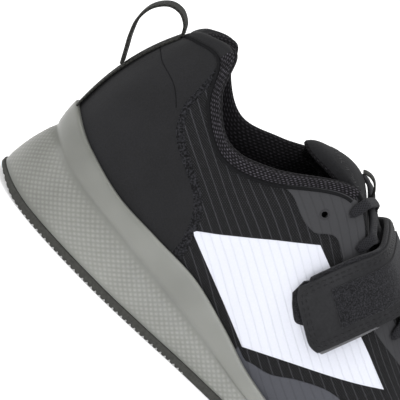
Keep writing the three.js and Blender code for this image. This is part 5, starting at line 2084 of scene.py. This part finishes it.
def ribbon(centre: Array, width: float, thick: float) -> Mesh:
    """A flat band with rounded edges along a line of points, level over its width.

    Args:
        centre: points of its middle.
        width, thick: its sizes in mm.

    Returns:
        The mesh.
    """
    LOG.info("ribbon %.0f mm wide: %.0f mm long", width, arc_lengths(centre, 0)[-1])
    out = unit(np.cross(unit(np.gradient(centre, axis=0)), OUTER))
    edge = thick / 2
    flat = width / 2 - edge
    turn = np.linspace(-math.pi / 2, math.pi / 2, 7)
    bend = np.stack([flat + edge * np.cos(turn), edge * np.sin(turn)], axis=-1)
    face = np.stack([np.linspace(flat, -flat, 8)[1:-1], np.full(6, edge)], axis=-1)
    outline = np.concatenate([bend, face, -bend, -face])
    rings = centre[:, None] + outline[None, :, :1] * OUTER + outline[None, :, 1:] * out[:, None]
    across_map = outline[:, 0] + MAP_GAP * (outline[:, 1] > 0)
    return tube(rings, chart_of(arc_lengths(centre, 0), across_map))


@dataclass
class Heel:
    """The tape over the back seam, the ribbon loop, and the stitches that hold them."""

    looks: Finishes
    tape_head: float = 0.95
    tape_gap: float = 0.9
    stitch_inset: float = 1.5
    loop_foot: float = 0.55
    loop_head: float = 0.965
    loop_height: float = 34.5

    def build(self) -> None:
        """Makes tape and loop."""
        self.tape()
        self.loop()

    def tape(self) -> None:
        """The tape, tucked into the sole's lip."""
        low = float(FORM.up_at(np.array(0.0), FORM.lip(np.array(0.0)) - 1.0))
        centre = wall(0.0, np.linspace(low, self.tape_head, 60), self.tape_gap)
        band = ribbon(centre, SIZES.tape_width, SIZES.tape_thickness)
        place_piece(band.solid("heel_tape_ribbon", 50), self.looks.tape, ["heel_tape"])
        out = unit(np.tile(np.array([0.0, -1.0, 0.1]), (80, 1)))
        middle = centre_line(centre, np.linspace(0.05, 0.95, 80)) + out * 0.5
        for side in (-1, 1):
            path = middle + OUTER * side * (SIZES.tape_width / 2 - self.stitch_inset)
            name = f"tape_stitches_{side}"
            StitchRun(self.looks.thread, name, path, out, "ribbon", 2.6, 1.8, 0.45).build()

    def loop(self) -> None:
        """The ribbon loop, sewn on near the top and halfway down the heel."""
        reach = table("0.08 0.16, 0.173 0.347, 0.24 0.56, 0.213 0.787, 0.08 0.96, -0.093 1.0, -0.24 0.92")
        foot, head = wall(0.0, self.loop_foot, 2.2), wall(0.0, self.loop_head, 1.6)
        points = [foot]
        for back, up in reach:
            points.append(np.array([0.0, foot[1], foot[2]]) + np.array([0.0, -back, up]) * self.loop_height)
        band = ribbon(spline(np.array(points + [head]), 90), SIZES.tape_width, SIZES.loop_thickness)
        place_piece(band.solid("pull_loop_ribbon", 50), self.looks.tape, ["pull_loop"])


def centre_line(points: Array, shares: Array) -> Array:
    """Points at shares of a line's length."""
    run = arc_lengths(points, 0)
    return read_line(points, run, shares * run[-1])


@dataclass
class StrapPad:
    """The pad of loop fabric on the upper, under the strap's tip."""

    looks: Finishes
    upper: Upper

    def build(self) -> None:
        """A thin pile patch on the wall."""
        place = np.linspace(6.34, 7.2, 50)
        low = smooth_table(np.array([[6.34, 0.45], [6.5, 0.42], [6.7, 0.42], [7.2, 0.66]]), place)
        high = smooth_table(np.array([[6.34, 0.53], [6.6, 0.69], [6.8, 0.79], [7.2, 0.75]]), place)
        piece = self.upper.film_patch("strap_pad_pile", place, low, high, 14, 0.3, 1.2, 30)
        place_piece(piece, self.looks.pile, ["strap_pad"])


@dataclass
class Studio:
    """A pale floor, soft lights and the camera of the photograph."""

    looks: Finishes
    target: tuple[float, float, float] = (0.0, 0.0, 0.053)
    distance: float = 0.9
    azimuth: float = 6.0
    elevation: float = 13.5
    roll: float = 45.0
    lens: float = 182.25

    def build(self) -> None:
        """Sets floor, lights, world and camera."""
        self.floor()
        self.lights()
        self.camera()

    def floor(self) -> None:
        """A level pale floor, wide enough for every view."""
        data = bpy.data.meshes.new("studio_floor")
        half = 3.0
        corners = [(-half, -half, 0), (half, -half, 0), (half, half, 0), (-half, half, 0)]
        data.from_pydata(corners, [], [(0, 1, 2, 3)])
        floor = bpy.data.objects.new("studio_floor", data)
        data.materials.append(self.looks.floor)
        bpy.context.scene.collection.objects.link(floor)

    def area(self, name: str, at: tuple, size: float, power: float, tone: str) -> None:
        """One square soft light that faces the shoe."""
        lamp = bpy.data.lights.new(name, "AREA")
        lamp.size = size
        lamp.energy = power
        lamp.color = srgb(tone)[:3]
        holder = bpy.data.objects.new(name, lamp)
        holder.location = at
        holder.rotation_euler = (Vector(self.target) - Vector(at)).to_track_quat("-Z", "Y").to_euler()
        bpy.context.scene.collection.objects.link(holder)

    def lights(self) -> None:
        """A broad light above, one on the camera's side, one low on the heel and a weak one behind."""
        for name, at, size, power, tone in (
            ("softbox_above", (0.1, 0.15, 1.5), 1.3, 11, "#ffffff"),
            ("softbox_side", (1.5, 0.5, 0.7), 1.1, 8, "#f6f8ff"),
            ("softbox_heel", (0.5, -1.4, 0.8), 0.9, 5, "#ffffff"),
            ("softbox_behind", (-1.3, 0.2, 0.9), 1.0, 4, "#ffffff"),
        ):
            self.area(name, at, size, power, tone)
        world = bpy.data.worlds.new("studio")
        world.use_nodes = True
        backdrop = world.node_tree.nodes["Background"]
        backdrop.inputs["Color"].default_value = (1, 1, 1, 1)
        backdrop.inputs["Strength"].default_value = 0.55
        bpy.context.scene.world = world
        bpy.context.scene.view_settings.view_transform = "Standard"

    def camera(self) -> None:
        """The photograph's view: from the outer side, a little above and behind, rolled an eighth turn."""
        a, e = math.radians(self.azimuth), math.radians(self.elevation)
        back = Vector((math.cos(e) * math.cos(a), -math.cos(e) * math.sin(a), math.sin(e)))
        right = (-back).cross(Vector((0, 0, 1))).normalized()
        up = right.cross(-back)
        turn = math.radians(self.roll)
        across = right * math.cos(turn) + up * math.sin(turn)
        above = up * math.cos(turn) - right * math.sin(turn)
        data = bpy.data.cameras.new("photo_camera")
        data.lens = self.lens
        data.sensor_width = 36.0
        camera = bpy.data.objects.new("photo_camera", data)
        axes = Matrix((across, above, back)).transposed().to_4x4()
        axes.translation = Vector(self.target) + back * self.distance
        camera.matrix_world = axes
        bpy.context.scene.collection.objects.link(camera)
        bpy.context.scene.camera = camera


def main() -> None:
    """Builds the whole shoe in its studio."""
    logging.basicConfig(level=logging.INFO, format="%(message)s")
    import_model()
    looks = Finishes()
    upper = Upper(looks)
    wrapped = Wrapped()
    parts = (Sole(looks), upper, Collar(looks), Tongue(looks), StrapPad(looks, upper))
    for part in (*parts, Lacing(looks, wrapped), Strap(looks, wrapped), Heel(looks)):
        part.build()
    Studio(looks).build()


if __name__ == "__main__":
    main()
